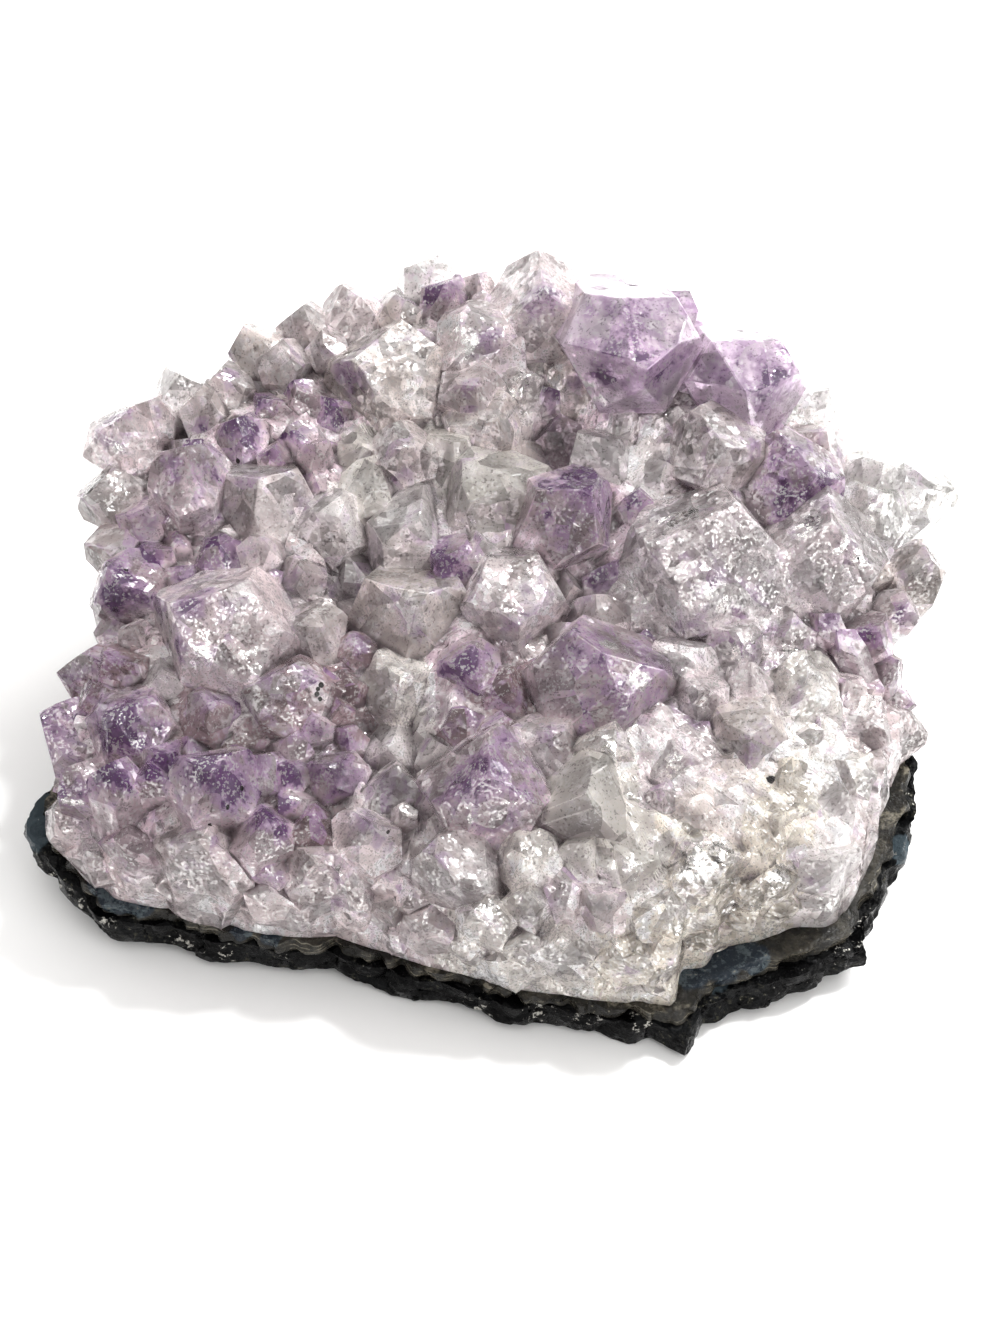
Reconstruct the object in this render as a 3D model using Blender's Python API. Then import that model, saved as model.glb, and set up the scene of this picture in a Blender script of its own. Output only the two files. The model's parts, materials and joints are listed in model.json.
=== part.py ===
"""Amethyst cluster: a loose piece of the broken wall of a geode, lying on its rock side.

Three layers, each its own object: a thin rind of dark volcanic rock, a thin band of agate on it, and the
massive quartz with all the crystals that grew from it, which are one solid. +X is right, +Y is away from the
viewer and +Z is up. The origin is at the bottom, under the middle of the piece. Shapes are worked out in
millimetres, and the finished meshes are scaled to metres.
"""

import math
import random
from collections import namedtuple

import bmesh
import bpy
from mathutils import Matrix, Vector, noise

METRES_PER_MM = 0.001
LAYER_GAP = 0.3
RANDOM_SEED = 7

# Where the middle of the finished piece's box lies in the photograph's layout. It is moved to the origin.
CLUSTER_MIDDLE = Vector((1.589, 3.071, 0.0))

# The photograph that the crystals were placed from: its frame, and where the camera stood.
PHOTO_CENTRE_X = 500.0
PHOTO_CENTRE_Y = 666.5
PHOTO_FOCAL_PIXELS = 2820.0
CAMERA_ELEVATION = math.radians(48.0)
CAMERA_DISTANCE = 300.0
CAMERA_AIM = Vector((1.6, -3.6, 22.0))
CAMERA_RIGHT = Vector((1.0, 0.0, 0.0))
CAMERA_UP = Vector((0.0, math.sin(CAMERA_ELEVATION), math.cos(CAMERA_ELEVATION)))
TOWARDS_CAMERA = Vector((0.0, -math.cos(CAMERA_ELEVATION), math.sin(CAMERA_ELEVATION)))
SIGHT_STARTS = 230.0
SIGHT_STEP = 0.2
SIGHT_STEPS = 720

# Unevenness of a surface: how high its lumps are, how wide, and which of the noise's slices they come from.
Lumps = namedtuple("Lumps", "height size slice")
NOISE_PEAK = 1.8

# The broken edge of the rock, seen from above. lip is how far the rock sticks out past the quartz there, and
# lift is how high the top of the rock is there.
RimPoint = namedtuple("RimPoint", "x y lip lift")
RIM = (
    RimPoint(x=-50.0, y=-13.2, lip=4.5, lift=8.0),
    RimPoint(x=-46.5, y=-18.0, lip=3.0, lift=6.8),
    RimPoint(x=-41.0, y=-24.2, lip=1.6, lift=5.4),
    RimPoint(x=-33.0, y=-25.2, lip=1.0, lift=4.6),
    RimPoint(x=-22.0, y=-28.2, lip=0.8, lift=4.2),
    RimPoint(x=-16.0, y=-28.2, lip=0.8, lift=4.2),
    RimPoint(x=-10.5, y=-30.4, lip=1.0, lift=4.0),
    RimPoint(x=-2.5, y=-33.0, lip=0.8, lift=4.2),
    RimPoint(x=8.0, y=-35.2, lip=0.8, lift=4.0),
    RimPoint(x=17.0, y=-36.6, lip=1.2, lift=3.6),
    RimPoint(x=20.6, y=-38.4, lip=3.0, lift=3.2),
    RimPoint(x=22.6, y=-34.4, lip=1.5, lift=3.8),
    RimPoint(x=32.4, y=-31.0, lip=2.5, lift=4.8),
    RimPoint(x=40.3, y=-28.4, lip=4.0, lift=5.2),
    RimPoint(x=39.8, y=-25.0, lip=1.5, lift=5.4),
    RimPoint(x=44.0, y=-18.2, lip=2.5, lift=6.0),
    RimPoint(x=46.8, y=-11.0, lip=3.0, lift=7.5),
    RimPoint(x=46.0, y=0.0, lip=2.0, lift=8.5),
    RimPoint(x=46.0, y=10.0, lip=1.5, lift=8.5),
    RimPoint(x=46.0, y=20.0, lip=1.5, lift=8.0),
    RimPoint(x=41.5, y=28.0, lip=1.5, lift=7.5),
    RimPoint(x=34.5, y=34.0, lip=1.5, lift=7.0),
    RimPoint(x=24.0, y=39.5, lip=1.5, lift=6.5),
    RimPoint(x=11.0, y=42.0, lip=1.5, lift=6.5),
    RimPoint(x=-3.0, y=40.8, lip=1.5, lift=6.5),
    RimPoint(x=-15.0, y=38.0, lip=1.5, lift=6.5),
    RimPoint(x=-26.0, y=33.5, lip=1.5, lift=7.0),
    RimPoint(x=-34.0, y=27.5, lip=1.5, lift=7.0),
    RimPoint(x=-39.0, y=18.0, lip=1.5, lift=7.5),
    RimPoint(x=-41.0, y=8.0, lip=1.5, lift=8.0),
    RimPoint(x=-42.0, y=0.0, lip=1.5, lift=8.5),
    RimPoint(x=-46.3, y=-8.7, lip=2.5, lift=9.0),
)

# The rock rind: flat where it rests, thin, and lifted towards its edge.
ROCK_MIDDLE_TOP = 4.2
ROCK_EDGE_THICKNESS = 3.2
LEAST_EDGE_LIFT = 0.6
REST_SHARE = 0.6
ROUGH_SHARE = 0.8
LAYER_SHARES = (REST_SHARE, ROUGH_SHARE, 1.0)
ROCK_TOP_LUMPS = Lumps(height=0.35, size=22.0, slice=0.0)
ROCK_UNDERSIDE_LUMPS = Lumps(height=0.5, size=6.0, slice=4.0)
ROCK_EDGE_LUMPS = Lumps(height=0.5, size=5.0, slice=2.0)

# The agate band on the rock.
AGATE_THICKNESS = 1.3
AGATE_SETBACK = 0.5
AGATE_LUMPS = Lumps(height=0.3, size=18.0, slice=9.0)

# The bed of massive quartz that the crystals stand in.
BED_MIDDLE_TOP = 25.0
BED_RISE_TO_BACK = 0.27
BED_RISE_TO_RIGHT = 0.03
BED_FALL_FROM_X = 15.0
BED_FALL_AT_RIGHT = 0.009
BED_EDGE_HEIGHT = 3.0
WALL_WIDTH_MEAN = 6.0
WALL_WIDTH_EXTRA_IN_FRONT = 3.0
OVERHANG_FROM_Y = -6.0
OVERHANG_REACH = 4.0
BED_LUMPS = Lumps(height=1.0, size=7.0, slice=6.0)
BED_SHARES = (0.25, 0.5, 0.7, 0.83, 0.92, 0.98, 1.0)
BED_INSET = 0.999

# The solid that keeps the quartz clear of the agate below it.
CUTTER_REACH = 1.3
CUTTER_DEPTH = -20.0
CUTTER_SHARES = (*(share / CUTTER_REACH for share in LAYER_SHARES), 1.0)

Hollow = namedtuple("Hollow", "x y depth radius")
HOLLOWS = (
    Hollow(x=-13.0, y=5.0, depth=6.0, radius=6.0),
    Hollow(x=7.5, y=22.0, depth=6.0, radius=5.0),
    Hollow(x=-9.5, y=-13.0, depth=5.0, radius=5.0),
    Hollow(x=12.0, y=4.0, depth=3.0, radius=8.0),
)

# Quartz: six prism faces, and a tip of six faces whose normals lean 51.8 degrees from the long axis.
PRISM_SIDES = 6
TIP_NORMAL_ANGLE = math.radians(51.8)
TIP_HEIGHT_PER_APOTHEM = math.tan(TIP_NORMAL_ANGLE)
UNEVEN_PRISM = 0.13
LARGE_TIP_FACE_SHIFT = 0.10
SMALL_TIP_FACE_SHIFT = (0.22, 0.60)
THREE_FACED_BELOW = 6.0
ROOT_LENGTH = 3.5
ROOT_PER_WIDTH = 0.35

# Each crystal that the photograph shows: the middle of its widest section, the width that its neighbours leave
# in sight, how far its axis leans to the photograph's right and up, how far it stands off the bed, and which way
# one of its three large tip faces looks, in degrees from the photograph's right, where that shows.
WIDTH_IN_SIGHT = 0.88
Crystal = namedtuple("Crystal", "px py width right up stand face", defaults=(1.3, None))
CRYSTALS = (
    # Left edge, from the back to the front.
    Crystal(px=123, py=443, width=7.2, right=-0.2, up=0.2),
    Crystal(px=181, py=395, width=5.1, right=0.0, up=0.60),
    Crystal(px=188, py=478, width=7.4, right=0.02, up=0.55, stand=5.0),
    Crystal(px=113, py=500, width=6.0, right=-0.35, up=0.1),
    Crystal(px=112, py=550, width=5.0, right=-0.3, up=0.1),
    Crystal(px=142, py=523, width=5.3, right=-0.6, up=0.1),
    Crystal(px=243, py=440, width=5.5, right=-0.1, up=0.5),
    Crystal(px=262, py=505, width=8.5, right=-0.1, up=0.35),
    Crystal(px=316, py=455, width=3.6, right=0.0, up=0.4, stand=3.0),
    Crystal(px=275, py=458, width=3.2, right=0.0, up=0.5, stand=2.5),
    Crystal(px=331, py=414, width=4.2, right=0.05, up=0.5),
    Crystal(px=333, py=528, width=7.5, right=0.1, up=0.3),
    Crystal(px=128, py=592, width=7.0, right=-0.3, up=0.2),
    Crystal(px=155, py=560, width=4.0, right=-0.2, up=0.4),
    Crystal(px=219, py=633, width=12.0, right=-0.45, up=0.3, stand=2.5, face=-35),
    Crystal(px=303, py=580, width=4.5, right=0.2, up=0.4),
    Crystal(px=137, py=638, width=3.5, right=0.0, up=0.4),
    Crystal(px=122, py=668, width=5.0, right=-0.4, up=0.3),
    Crystal(px=165, py=682, width=4.2, right=0.0, up=0.5),
    Crystal(px=281, py=700, width=8.0, right=-0.5, up=0.2, face=-20),
    Crystal(px=212, py=718, width=6.0, right=0.1, up=0.4),
    Crystal(px=130, py=728, width=8.0, right=-0.3, up=0.3),
    Crystal(px=117, py=785, width=4.8, right=-0.1, up=0.7, stand=4.0),
    Crystal(px=152, py=782, width=3.4, right=0.0, up=0.6, stand=3.0),
    Crystal(px=215, py=785, width=8.0, right=0.05, up=0.55, stand=3.0),
    Crystal(px=264, py=775, width=5.0, right=0.05, up=0.6),
    Crystal(px=290, py=778, width=4.0, right=0.0, up=0.5),
    Crystal(px=265, py=835, width=5.6, right=0.1, up=0.5, stand=3.0),
    Crystal(px=202, py=858, width=9.5, right=0.0, up=0.3),
    Crystal(px=315, py=728, width=3.4, right=0.0, up=0.5),
    Crystal(px=312, py=832, width=5.0, right=0.1, up=0.5),
    Crystal(px=73, py=818, width=6.0, right=-0.35, up=0.5),
    # Back row.
    Crystal(px=152, py=418, width=5.0, right=-0.1, up=0.45),
    Crystal(px=207, py=410, width=5.0, right=-0.1, up=0.5),
    Crystal(px=228, py=388, width=4.6, right=-0.2, up=0.5),
    Crystal(px=283, py=365, width=5.5, right=-0.1, up=0.5),
    Crystal(px=395, py=312, width=5.0, right=0.0, up=0.5),
    Crystal(px=433, py=282, width=6.5, right=0.2, up=0.6),
    Crystal(px=478, py=287, width=3.0, right=0.0, up=0.6),
    Crystal(px=443, py=302, width=5.2, right=0.1, up=0.4),
    Crystal(px=352, py=316, width=6.0, right=-0.1, up=0.5),
    Crystal(px=305, py=330, width=5.0, right=-0.2, up=0.55),
    Crystal(px=258, py=352, width=5.6, right=-0.35, up=0.6),
    Crystal(px=537, py=312, width=10.6, right=-0.1, up=0.35, stand=3.0, face=-90),
    Crystal(px=478, py=348, width=9.0, right=-0.1, up=0.3, stand=2.5, face=180),
    Crystal(px=474, py=394, width=6.2, right=0.05, up=0.2, stand=3.0),
    Crystal(px=515, py=385, width=5.0, right=0.3, up=0.3),
    Crystal(px=485, py=432, width=8.0, right=0.2, up=0.1),
    Crystal(px=382, py=382, width=11.0, right=-0.35, up=0.2, face=-10),
    # Middle.
    Crystal(px=360, py=455, width=4.4, right=0.2, up=0.2),
    Crystal(px=404, py=455, width=6.0, right=0.1, up=0.3, stand=3.0),
    Crystal(px=450, py=457, width=6.0, right=0.2, up=0.3),
    Crystal(px=490, py=497, width=10.5, right=-0.3, up=0.3, stand=0.5, face=-60),
    Crystal(px=555, py=400, width=3.4, right=0.1, up=0.3),
    Crystal(px=556, py=350, width=4.0, right=-0.3, up=0.2),
    Crystal(px=412, py=535, width=9.0, right=0.25, up=0.35, face=-100),
    Crystal(px=450, py=566, width=5.4, right=-0.3, up=0.1),
    Crystal(px=480, py=557, width=4.5, right=0.1, up=0.5),
    Crystal(px=570, py=515, width=9.4, right=0.35, up=0.35, stand=3.5, face=235),
    Crystal(px=513, py=610, width=9.0, right=0.1, up=-0.25, stand=2.0, face=90),
    Crystal(px=415, py=617, width=10.6, right=0.05, up=0.3, stand=1.0, face=210),
    Crystal(px=312, py=638, width=6.5, right=0.0, up=0.3),
    Crystal(px=358, py=652, width=3.8, right=0.1, up=0.4),
    Crystal(px=402, py=692, width=7.4, right=0.1, up=0.25, face=200),
    Crystal(px=470, py=670, width=6.2, right=-0.2, up=0.2),
    Crystal(px=505, py=695, width=5.0, right=0.1, up=0.3),
    Crystal(px=393, py=753, width=6.5, right=0.0, up=0.2),
    Crystal(px=347, py=738, width=3.6, right=0.0, up=0.4),
    Crystal(px=489, py=792, width=11.4, right=0.0, up=0.25, stand=2.5, face=-90),
    Crystal(px=546, py=748, width=7.4, right=0.2, up=0.35),
    Crystal(px=600, py=692, width=12.6, right=0.3, up=0.2, stand=2.0, face=195),
    # The large crystals at the back right.
    Crystal(px=632, py=352, width=11.8, right=0.1, up=-0.3, stand=7.0, face=90),
    Crystal(px=746, py=388, width=9.8, right=0.1, up=-0.3, stand=5.0, face=90),
    Crystal(px=716, py=455, width=8.6, right=0.07, up=0.05, stand=4.0, face=180),
    Crystal(px=665, py=434, width=2.8, right=0.0, up=0.2),
    Crystal(px=789, py=485, width=10.6, right=0.1, up=0.1, stand=3.0, face=60),
    Crystal(px=815, py=450, width=6.2, right=0.2, up=0.4),
    Crystal(px=817, py=412, width=5.0, right=0.3, up=0.6),
    Crystal(px=873, py=487, width=6.5, right=0.25, up=0.5),
    Crystal(px=920, py=490, width=6.6, right=0.3, up=0.35),
    Crystal(px=695, py=572, width=14.5, right=-0.3, up=0.15, stand=1.5, face=-20),
    Crystal(px=815, py=553, width=13.5, right=0.1, up=0.35, stand=1.5, face=-95),
    Crystal(px=876, py=510, width=7.0, right=0.2, up=0.5),
    Crystal(px=917, py=572, width=6.0, right=0.2, up=0.3),
    # Right side, from the back to the front.
    Crystal(px=896, py=613, width=4.2, right=0.3, up=0.3),
    Crystal(px=868, py=637, width=4.6, right=0.2, up=0.3),
    Crystal(px=735, py=647, width=6.0, right=0.1, up=0.3),
    Crystal(px=700, py=700, width=5.6, right=0.0, up=0.3),
    Crystal(px=865, py=726, width=5.0, right=0.3, up=0.2),
    Crystal(px=803, py=744, width=4.0, right=0.1, up=0.3),
    Crystal(px=750, py=737, width=8.0, right=-0.1, up=0.1),
    Crystal(px=676, py=768, width=6.0, right=0.0, up=0.4),
    Crystal(px=720, py=808, width=5.6, right=0.0, up=0.3),
    Crystal(px=772, py=822, width=6.0, right=0.1, up=0.3),
    Crystal(px=697, py=866, width=8.5, right=-0.1, up=0.2),
    # Front.
    Crystal(px=606, py=752, width=7.0, right=0.1, up=0.3),
    Crystal(px=590, py=812, width=10.0, right=-0.1, up=0.2),
    Crystal(px=583, py=856, width=4.8, right=0.0, up=0.4),
    Crystal(px=632, py=866, width=5.5, right=0.1, up=0.2),
    Crystal(px=490, py=913, width=6.0, right=-0.1, up=0.3),
    Crystal(px=530, py=900, width=4.8, right=-0.2, up=0.5),
    Crystal(px=427, py=806, width=3.0, right=0.0, up=0.5),
    Crystal(px=365, py=840, width=6.2, right=0.1, up=0.45, stand=3.0),
    Crystal(px=330, py=876, width=8.5, right=-0.05, up=0.3),
    Crystal(px=455, py=866, width=8.6, right=-0.5, up=0.35),
    Crystal(px=412, py=895, width=3.2, right=0.0, up=0.4),
    Crystal(px=600, py=903, width=5.0, right=-0.2, up=0.2),
    Crystal(px=662, py=912, width=5.6, right=0.1, up=0.3),
    Crystal(px=718, py=902, width=6.2, right=0.2, up=0.2),
    Crystal(px=775, py=890, width=6.6, right=0.1, up=0.2),
    Crystal(px=826, py=868, width=6.0, right=0.3, up=0.1),
    Crystal(px=866, py=846, width=5.0, right=0.4, up=0.2),
    Crystal(px=628, py=955, width=6.0, right=0.0, up=0.0, stand=0.5),
    Crystal(px=565, py=948, width=5.4, right=-0.2, up=0.1, stand=0.5),
)

# The crystals that fill the room between those, and the broken lumps of quartz on the steep sides.
FILLER_TRIES = 1200
FILLER_WIDTH = (4.2, 8.5)
FILLER_LEAN = 0.35
FILLER_STAND = (0.0, 1.2)
FILL_OF_ROOM = 2.6
WALL_TRIES = 500
WALL_WIDTH = (5.0, 10.0)
WALL_LEAN = 0.6
WALL_CLIMB_ANGLES = (0.12, 1.2)
MOST_INWARD_DRAW = 0.02
WALL_STAND = (-3.0, -0.6)

# Two faces that meet at less than this are one flat face.
FLAT_ANGLE = math.radians(0.5)

QUARTZ_COLOUR = (0.66, 0.60, 0.68, 1.0)
AGATE_COLOUR = (0.24, 0.27, 0.31, 1.0)
ROCK_COLOUR = (0.015, 0.017, 0.019, 1.0)
QUARTZ_ROUGHNESS = 0.15
AGATE_ROUGHNESS = 0.3
ROCK_ROUGHNESS = 0.45


def rim_table():
    """The rim's points as (angle, radius, lip, lift), in order of their angle."""
    rows = [
        (math.atan2(point.y, point.x), math.hypot(point.x, point.y), point.lip, point.lift)
        for point in RIM
    ]
    rows.sort()
    first = rows[0]
    last = rows[-1]
    before = (last[0] - math.tau, *last[1:])
    after = (first[0] + math.tau, *first[1:])
    return [before, *rows, after]


RIM_ROWS = rim_table()
SECTOR_ANGLES = [row[0] for row in RIM_ROWS[1:-1]]


def rim_at(angle):
    """(radius, lip, lift) of the rim in one direction, between the two nearest points of the rim."""
    angle = math.atan2(math.sin(angle), math.cos(angle))
    for low, high in zip(RIM_ROWS, RIM_ROWS[1:]):
        if low[0] <= angle <= high[0]:
            share = (angle - low[0]) / (high[0] - low[0])
            return tuple(a + (b - a) * share for a, b in zip(low[1:], high[1:]))
    return RIM_ROWS[-1][1:]


def smoothstep(low, high, value):
    share = min(max((value - low) / (high - low), 0.0), 1.0)
    return share * share * (3.0 - 2.0 * share)


def uneven(x, y, lumps):
    """Height of a surface's lumps at one place."""
    return lumps.height * NOISE_PEAK * noise.noise(Vector((x / lumps.size, y / lumps.size, lumps.slice)))


def rock_top(x, y):
    """Height of the top of the rock, which the agate lies on."""
    radius, _, lift = rim_at(math.atan2(y, x))
    share = math.hypot(x, y) / radius
    lifted = (lift - ROCK_MIDDLE_TOP) * smoothstep(REST_SHARE, 1.0, share)
    return ROCK_MIDDLE_TOP + lifted + uneven(x, y, ROCK_TOP_LUMPS)


def rock_bottom(x, y):
    """Height of the underside of the rock: level where it rests, and lifted and rough towards the edge."""
    radius, _, lift = rim_at(math.atan2(y, x))
    share = math.hypot(x, y) / radius
    lifted = max(lift - ROCK_EDGE_THICKNESS, LEAST_EDGE_LIFT) * smoothstep(REST_SHARE, 1.0, share)
    lumps = uneven(x, y, ROCK_UNDERSIDE_LUMPS) * smoothstep(REST_SHARE, ROUGH_SHARE, share)
    return max(lifted + lumps, 0.0)


def agate_underside(x, y):
    return rock_top(x, y) + LAYER_GAP


def agate_top(x, y):
    return agate_underside(x, y) + AGATE_THICKNESS + uneven(x, y, AGATE_LUMPS)


def plateau_top(x, y):
    """Height of the broad top of the quartz, as if it had no edge."""
    height = BED_MIDDLE_TOP + BED_RISE_TO_BACK * y + BED_RISE_TO_RIGHT * x
    height -= BED_FALL_AT_RIGHT * max(x - BED_FALL_FROM_X, 0.0) ** 2
    for hollow in HOLLOWS:
        distance = math.hypot(x - hollow.x, y - hollow.y) / hollow.radius
        height -= hollow.depth * math.exp(-distance * distance)
    return height


def wall_width(angle):
    """How far in from the edge the bed's steep side reaches."""
    return WALL_WIDTH_MEAN - WALL_WIDTH_EXTRA_IN_FRONT * math.sin(angle)


def bed_top(x, y):
    """Height of the massive quartz that the crystals stand in, or None outside its edge."""
    angle = math.atan2(y, x)
    radius, lip, _ = rim_at(angle)
    inward = radius - lip - math.hypot(x, y)
    if inward < 0.0:
        return None
    plateau = plateau_top(x, y)
    edge = agate_top(x, y) + BED_EDGE_HEIGHT
    climb = 1.0 - min(inward / wall_width(angle), 1.0)
    return edge + (plateau - edge) * math.sqrt(1.0 - climb * climb)


def layer_mesh(name, outline, shares, top, bottom):
    """A closed layer between two height functions. outline gives the edge's radius for an angle, and shares
    the rings between the middle and the edge."""
    layer = bmesh.new()
    sectors = len(SECTOR_ANGLES)
    sides = []
    for height in (top, bottom):
        middle = layer.verts.new((0.0, 0.0, height(0.0, 0.0)))
        rings = []
        for share in shares:
            ring = []
            for angle in SECTOR_ANGLES:
                radius = outline(angle) * share
                x = radius * math.cos(angle)
                y = radius * math.sin(angle)
                ring.append(layer.verts.new((x, y, height(x, y))))
            rings.append(ring)
        sides.append((middle, rings))
    for middle, rings in sides:
        for sector in range(sectors):
            following = (sector + 1) % sectors
            layer.faces.new((middle, rings[0][sector], rings[0][following]))
            for inner, outer in zip(rings, rings[1:]):
                layer.faces.new((inner[sector], outer[sector], outer[following]))
                layer.faces.new((inner[sector], outer[following], inner[following]))
    upper = sides[0][1][-1]
    lower = sides[1][1][-1]
    for sector in range(sectors):
        following = (sector + 1) % sectors
        layer.faces.new((upper[sector], lower[sector], lower[following], upper[following]))
    bmesh.ops.recalc_face_normals(layer, faces=layer.faces[:])
    mesh = bpy.data.meshes.new(name)
    layer.to_mesh(mesh)
    layer.free()
    return mesh


def slice_off(solid, point, normal):
    """Cuts away what lies past a plane, and closes the cut with one flat face."""
    geometry = solid.verts[:] + solid.edges[:] + solid.faces[:]
    bmesh.ops.bisect_plane(solid, geom=geometry, plane_co=point, plane_no=normal, clear_outer=True)
    bmesh.ops.holes_fill(solid, edges=solid.edges[:], sides=0)


def crystal_solid(width, body_length, three_faced, chance):
    """A quartz crystal along +Z, with the foot of its tip at z = 0 and its root below. Its tip has six faces,
    large and small in turn, or the three large ones alone."""
    apothem = width / 2.0
    tip_height = TIP_HEIGHT_PER_APOTHEM * apothem
    solid = bmesh.new()
    bmesh.ops.create_cube(solid, size=1.0)
    block = Vector((3.0 * width, 3.0 * width, body_length + 2.0 * tip_height + width))
    bmesh.ops.scale(solid, vec=block, verts=solid.verts[:])
    bmesh.ops.translate(solid, vec=(0.0, 0.0, block.z / 2.0 - body_length), verts=solid.verts[:])
    for side in range(PRISM_SIDES):
        angle = math.tau * side / PRISM_SIDES
        outward = Vector((math.cos(angle), math.sin(angle), 0.0))
        reach = apothem * (1.0 + chance.uniform(-UNEVEN_PRISM, UNEVEN_PRISM))
        slice_off(solid, outward * reach, outward)
    for side in range(0, PRISM_SIDES, 2 if three_faced else 1):
        angle = math.tau * side / PRISM_SIDES
        outward = Vector((math.cos(angle), math.sin(angle), 0.0))
        normal = outward * math.sin(TIP_NORMAL_ANGLE) + Vector((0.0, 0.0, math.cos(TIP_NORMAL_ANGLE)))
        if side % 2:
            shift = chance.uniform(*SMALL_TIP_FACE_SHIFT)
        else:
            shift = chance.uniform(-LARGE_TIP_FACE_SHIFT, LARGE_TIP_FACE_SHIFT)
        slice_off(solid, Vector((0.0, 0.0, tip_height + shift * apothem)), normal)
    return solid


def photo_ray(px, py):
    """(camera, direction) of the line of sight through one point of the photograph."""
    camera = CAMERA_AIM + TOWARDS_CAMERA * CAMERA_DISTANCE
    direction = CAMERA_RIGHT * (px - PHOTO_CENTRE_X) - CAMERA_UP * (py - PHOTO_CENTRE_Y)
    direction -= TOWARDS_CAMERA * PHOTO_FOCAL_PIXELS
    return camera, direction.normalized()


def footing(x, y):
    """Height that a crystal stands on, or None. Behind the front wall, crystals overhang the edge a little."""
    if y < OVERHANG_FROM_Y:
        return bed_top(x, y)
    radius, _, _ = rim_at(math.atan2(y, x))
    if math.hypot(x, y) > radius + OVERHANG_REACH:
        return None
    return plateau_top(x, y)


def place_on_bed(px, py, stand):
    """Where the line of sight first comes down to this height above the bed, or else passes nearest to it."""
    camera, direction = photo_ray(px, py)
    nearest = None
    least = math.inf
    for step in range(SIGHT_STEPS):
        point = camera + direction * (SIGHT_STARTS + SIGHT_STEP * step)
        height = footing(point.x, point.y)
        if height is None:
            continue
        clearance = point.z - height - stand
        if clearance <= 0.0:
            return point
        if clearance < least:
            least = clearance
            nearest = point
    return nearest


def stand_along(axis, face, place):
    """The matrix that stands a crystal at a place, along an axis. Its first tip face looks this many degrees
    from the photograph's right."""
    across = (CAMERA_RIGHT - axis * CAMERA_RIGHT.dot(axis)).normalized()
    frame = Matrix((across, axis.cross(across), axis)).transposed().to_4x4()
    return Matrix.Translation(place) @ frame @ Matrix.Rotation(math.radians(face), 4, "Z")


def add_crystal(crust, width, axis, face, place, root, chance):
    solid = crystal_solid(width, root, width < THREE_FACED_BELOW, chance)
    bmesh.ops.transform(solid, matrix=stand_along(axis, face, place), verts=solid.verts[:])
    bmesh.ops.recalc_face_normals(solid, faces=solid.faces[:])
    mesh = bpy.data.meshes.new("crystal")
    solid.to_mesh(mesh)
    solid.free()
    crust.from_mesh(mesh)
    bpy.data.meshes.remove(mesh)


def room_at(place, heads):
    """How far a place is from the nearest crystal's side."""
    return min((place - other).length - 0.5 * width for other, width in heads)


def fill_room(crust, heads, tries, pick_inward, widths, stands, lean, chance):
    """Puts crystals where there is room for them, each as wide as its room."""
    for _ in range(tries):
        angle = chance.uniform(-math.pi, math.pi)
        radius, lip, _ = rim_at(angle)
        inward, climb = pick_inward(angle, radius - lip, chance)
        x = (radius - lip - inward) * math.cos(angle)
        y = (radius - lip - inward) * math.sin(angle)
        scatter = Vector([chance.uniform(-lean, lean) for _ in range(3)])
        face = chance.uniform(0.0, 360.0)
        stand = chance.uniform(*stands)
        outward = Vector((math.cos(angle), math.sin(angle), 0.0))
        normal = outward * climb + Vector((0.0, 0.0, math.sqrt(1.0 - climb * climb)))
        place = Vector((x, y, bed_top(x, y))) + normal * stand
        width = min(FILL_OF_ROOM * room_at(place, heads), widths[1])
        if width < widths[0]:
            continue
        root = stand + ROOT_LENGTH + ROOT_PER_WIDTH * width
        add_crystal(crust, width, (normal + scatter).normalized(), face, place, root, chance)
        heads.append((place, width))


def anywhere_inside(angle, reach, chance):
    """How far in from the edge, anywhere on the bed, and how steep the bed is there."""
    inward = reach * (1.0 - math.sqrt(chance.uniform(MOST_INWARD_DRAW, 1.0)))
    return inward, 1.0 - min(inward / wall_width(angle), 1.0)


def on_the_wall(angle, reach, chance):
    """How far in from the edge, on its steep side, and how steep the bed is there."""
    climb = math.cos(chance.uniform(*WALL_CLIMB_ANGLES))
    return wall_width(angle) * (1.0 - climb), climb


def all_crystals():
    """One mesh with every crystal in it, still as separate bodies that overlap."""
    chance = random.Random(RANDOM_SEED)
    crust = bmesh.new()
    heads = []
    for crystal in CRYSTALS:
        place = place_on_bed(crystal.px, crystal.py, crystal.stand)
        towards = math.sqrt(1.0 - crystal.right**2 - crystal.up**2)
        axis = CAMERA_RIGHT * crystal.right + CAMERA_UP * crystal.up + TOWARDS_CAMERA * towards
        face = chance.uniform(0.0, 360.0)
        if crystal.face is not None:
            face = crystal.face
        width = crystal.width / WIDTH_IN_SIGHT
        root = crystal.stand + ROOT_LENGTH + ROOT_PER_WIDTH * width
        add_crystal(crust, width, axis.normalized(), face, place, root, chance)
        heads.append((place, width))
    fill_room(crust, heads, FILLER_TRIES, anywhere_inside, FILLER_WIDTH, FILLER_STAND, FILLER_LEAN, chance)
    fill_room(crust, heads, WALL_TRIES, on_the_wall, WALL_WIDTH, WALL_STAND, WALL_LEAN, chance)
    mesh = bpy.data.meshes.new("crystals")
    crust.to_mesh(mesh)
    crust.free()
    return mesh


def add_object(name, mesh, collection):
    made = bpy.data.objects.new(name, mesh)
    collection.objects.link(made)
    return made


def add_helper(name, mesh, collection):
    helper = add_object(name, mesh, collection)
    helper.hide_render = True
    helper.display_type = "WIRE"
    return helper


def join_or_cut(target, helper, operation):
    modifier = target.modifiers.new(helper.name, "BOOLEAN")
    modifier.operation = operation
    modifier.object = helper
    modifier.solver = "EXACT"
    modifier.use_self = operation == "UNION"


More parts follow.
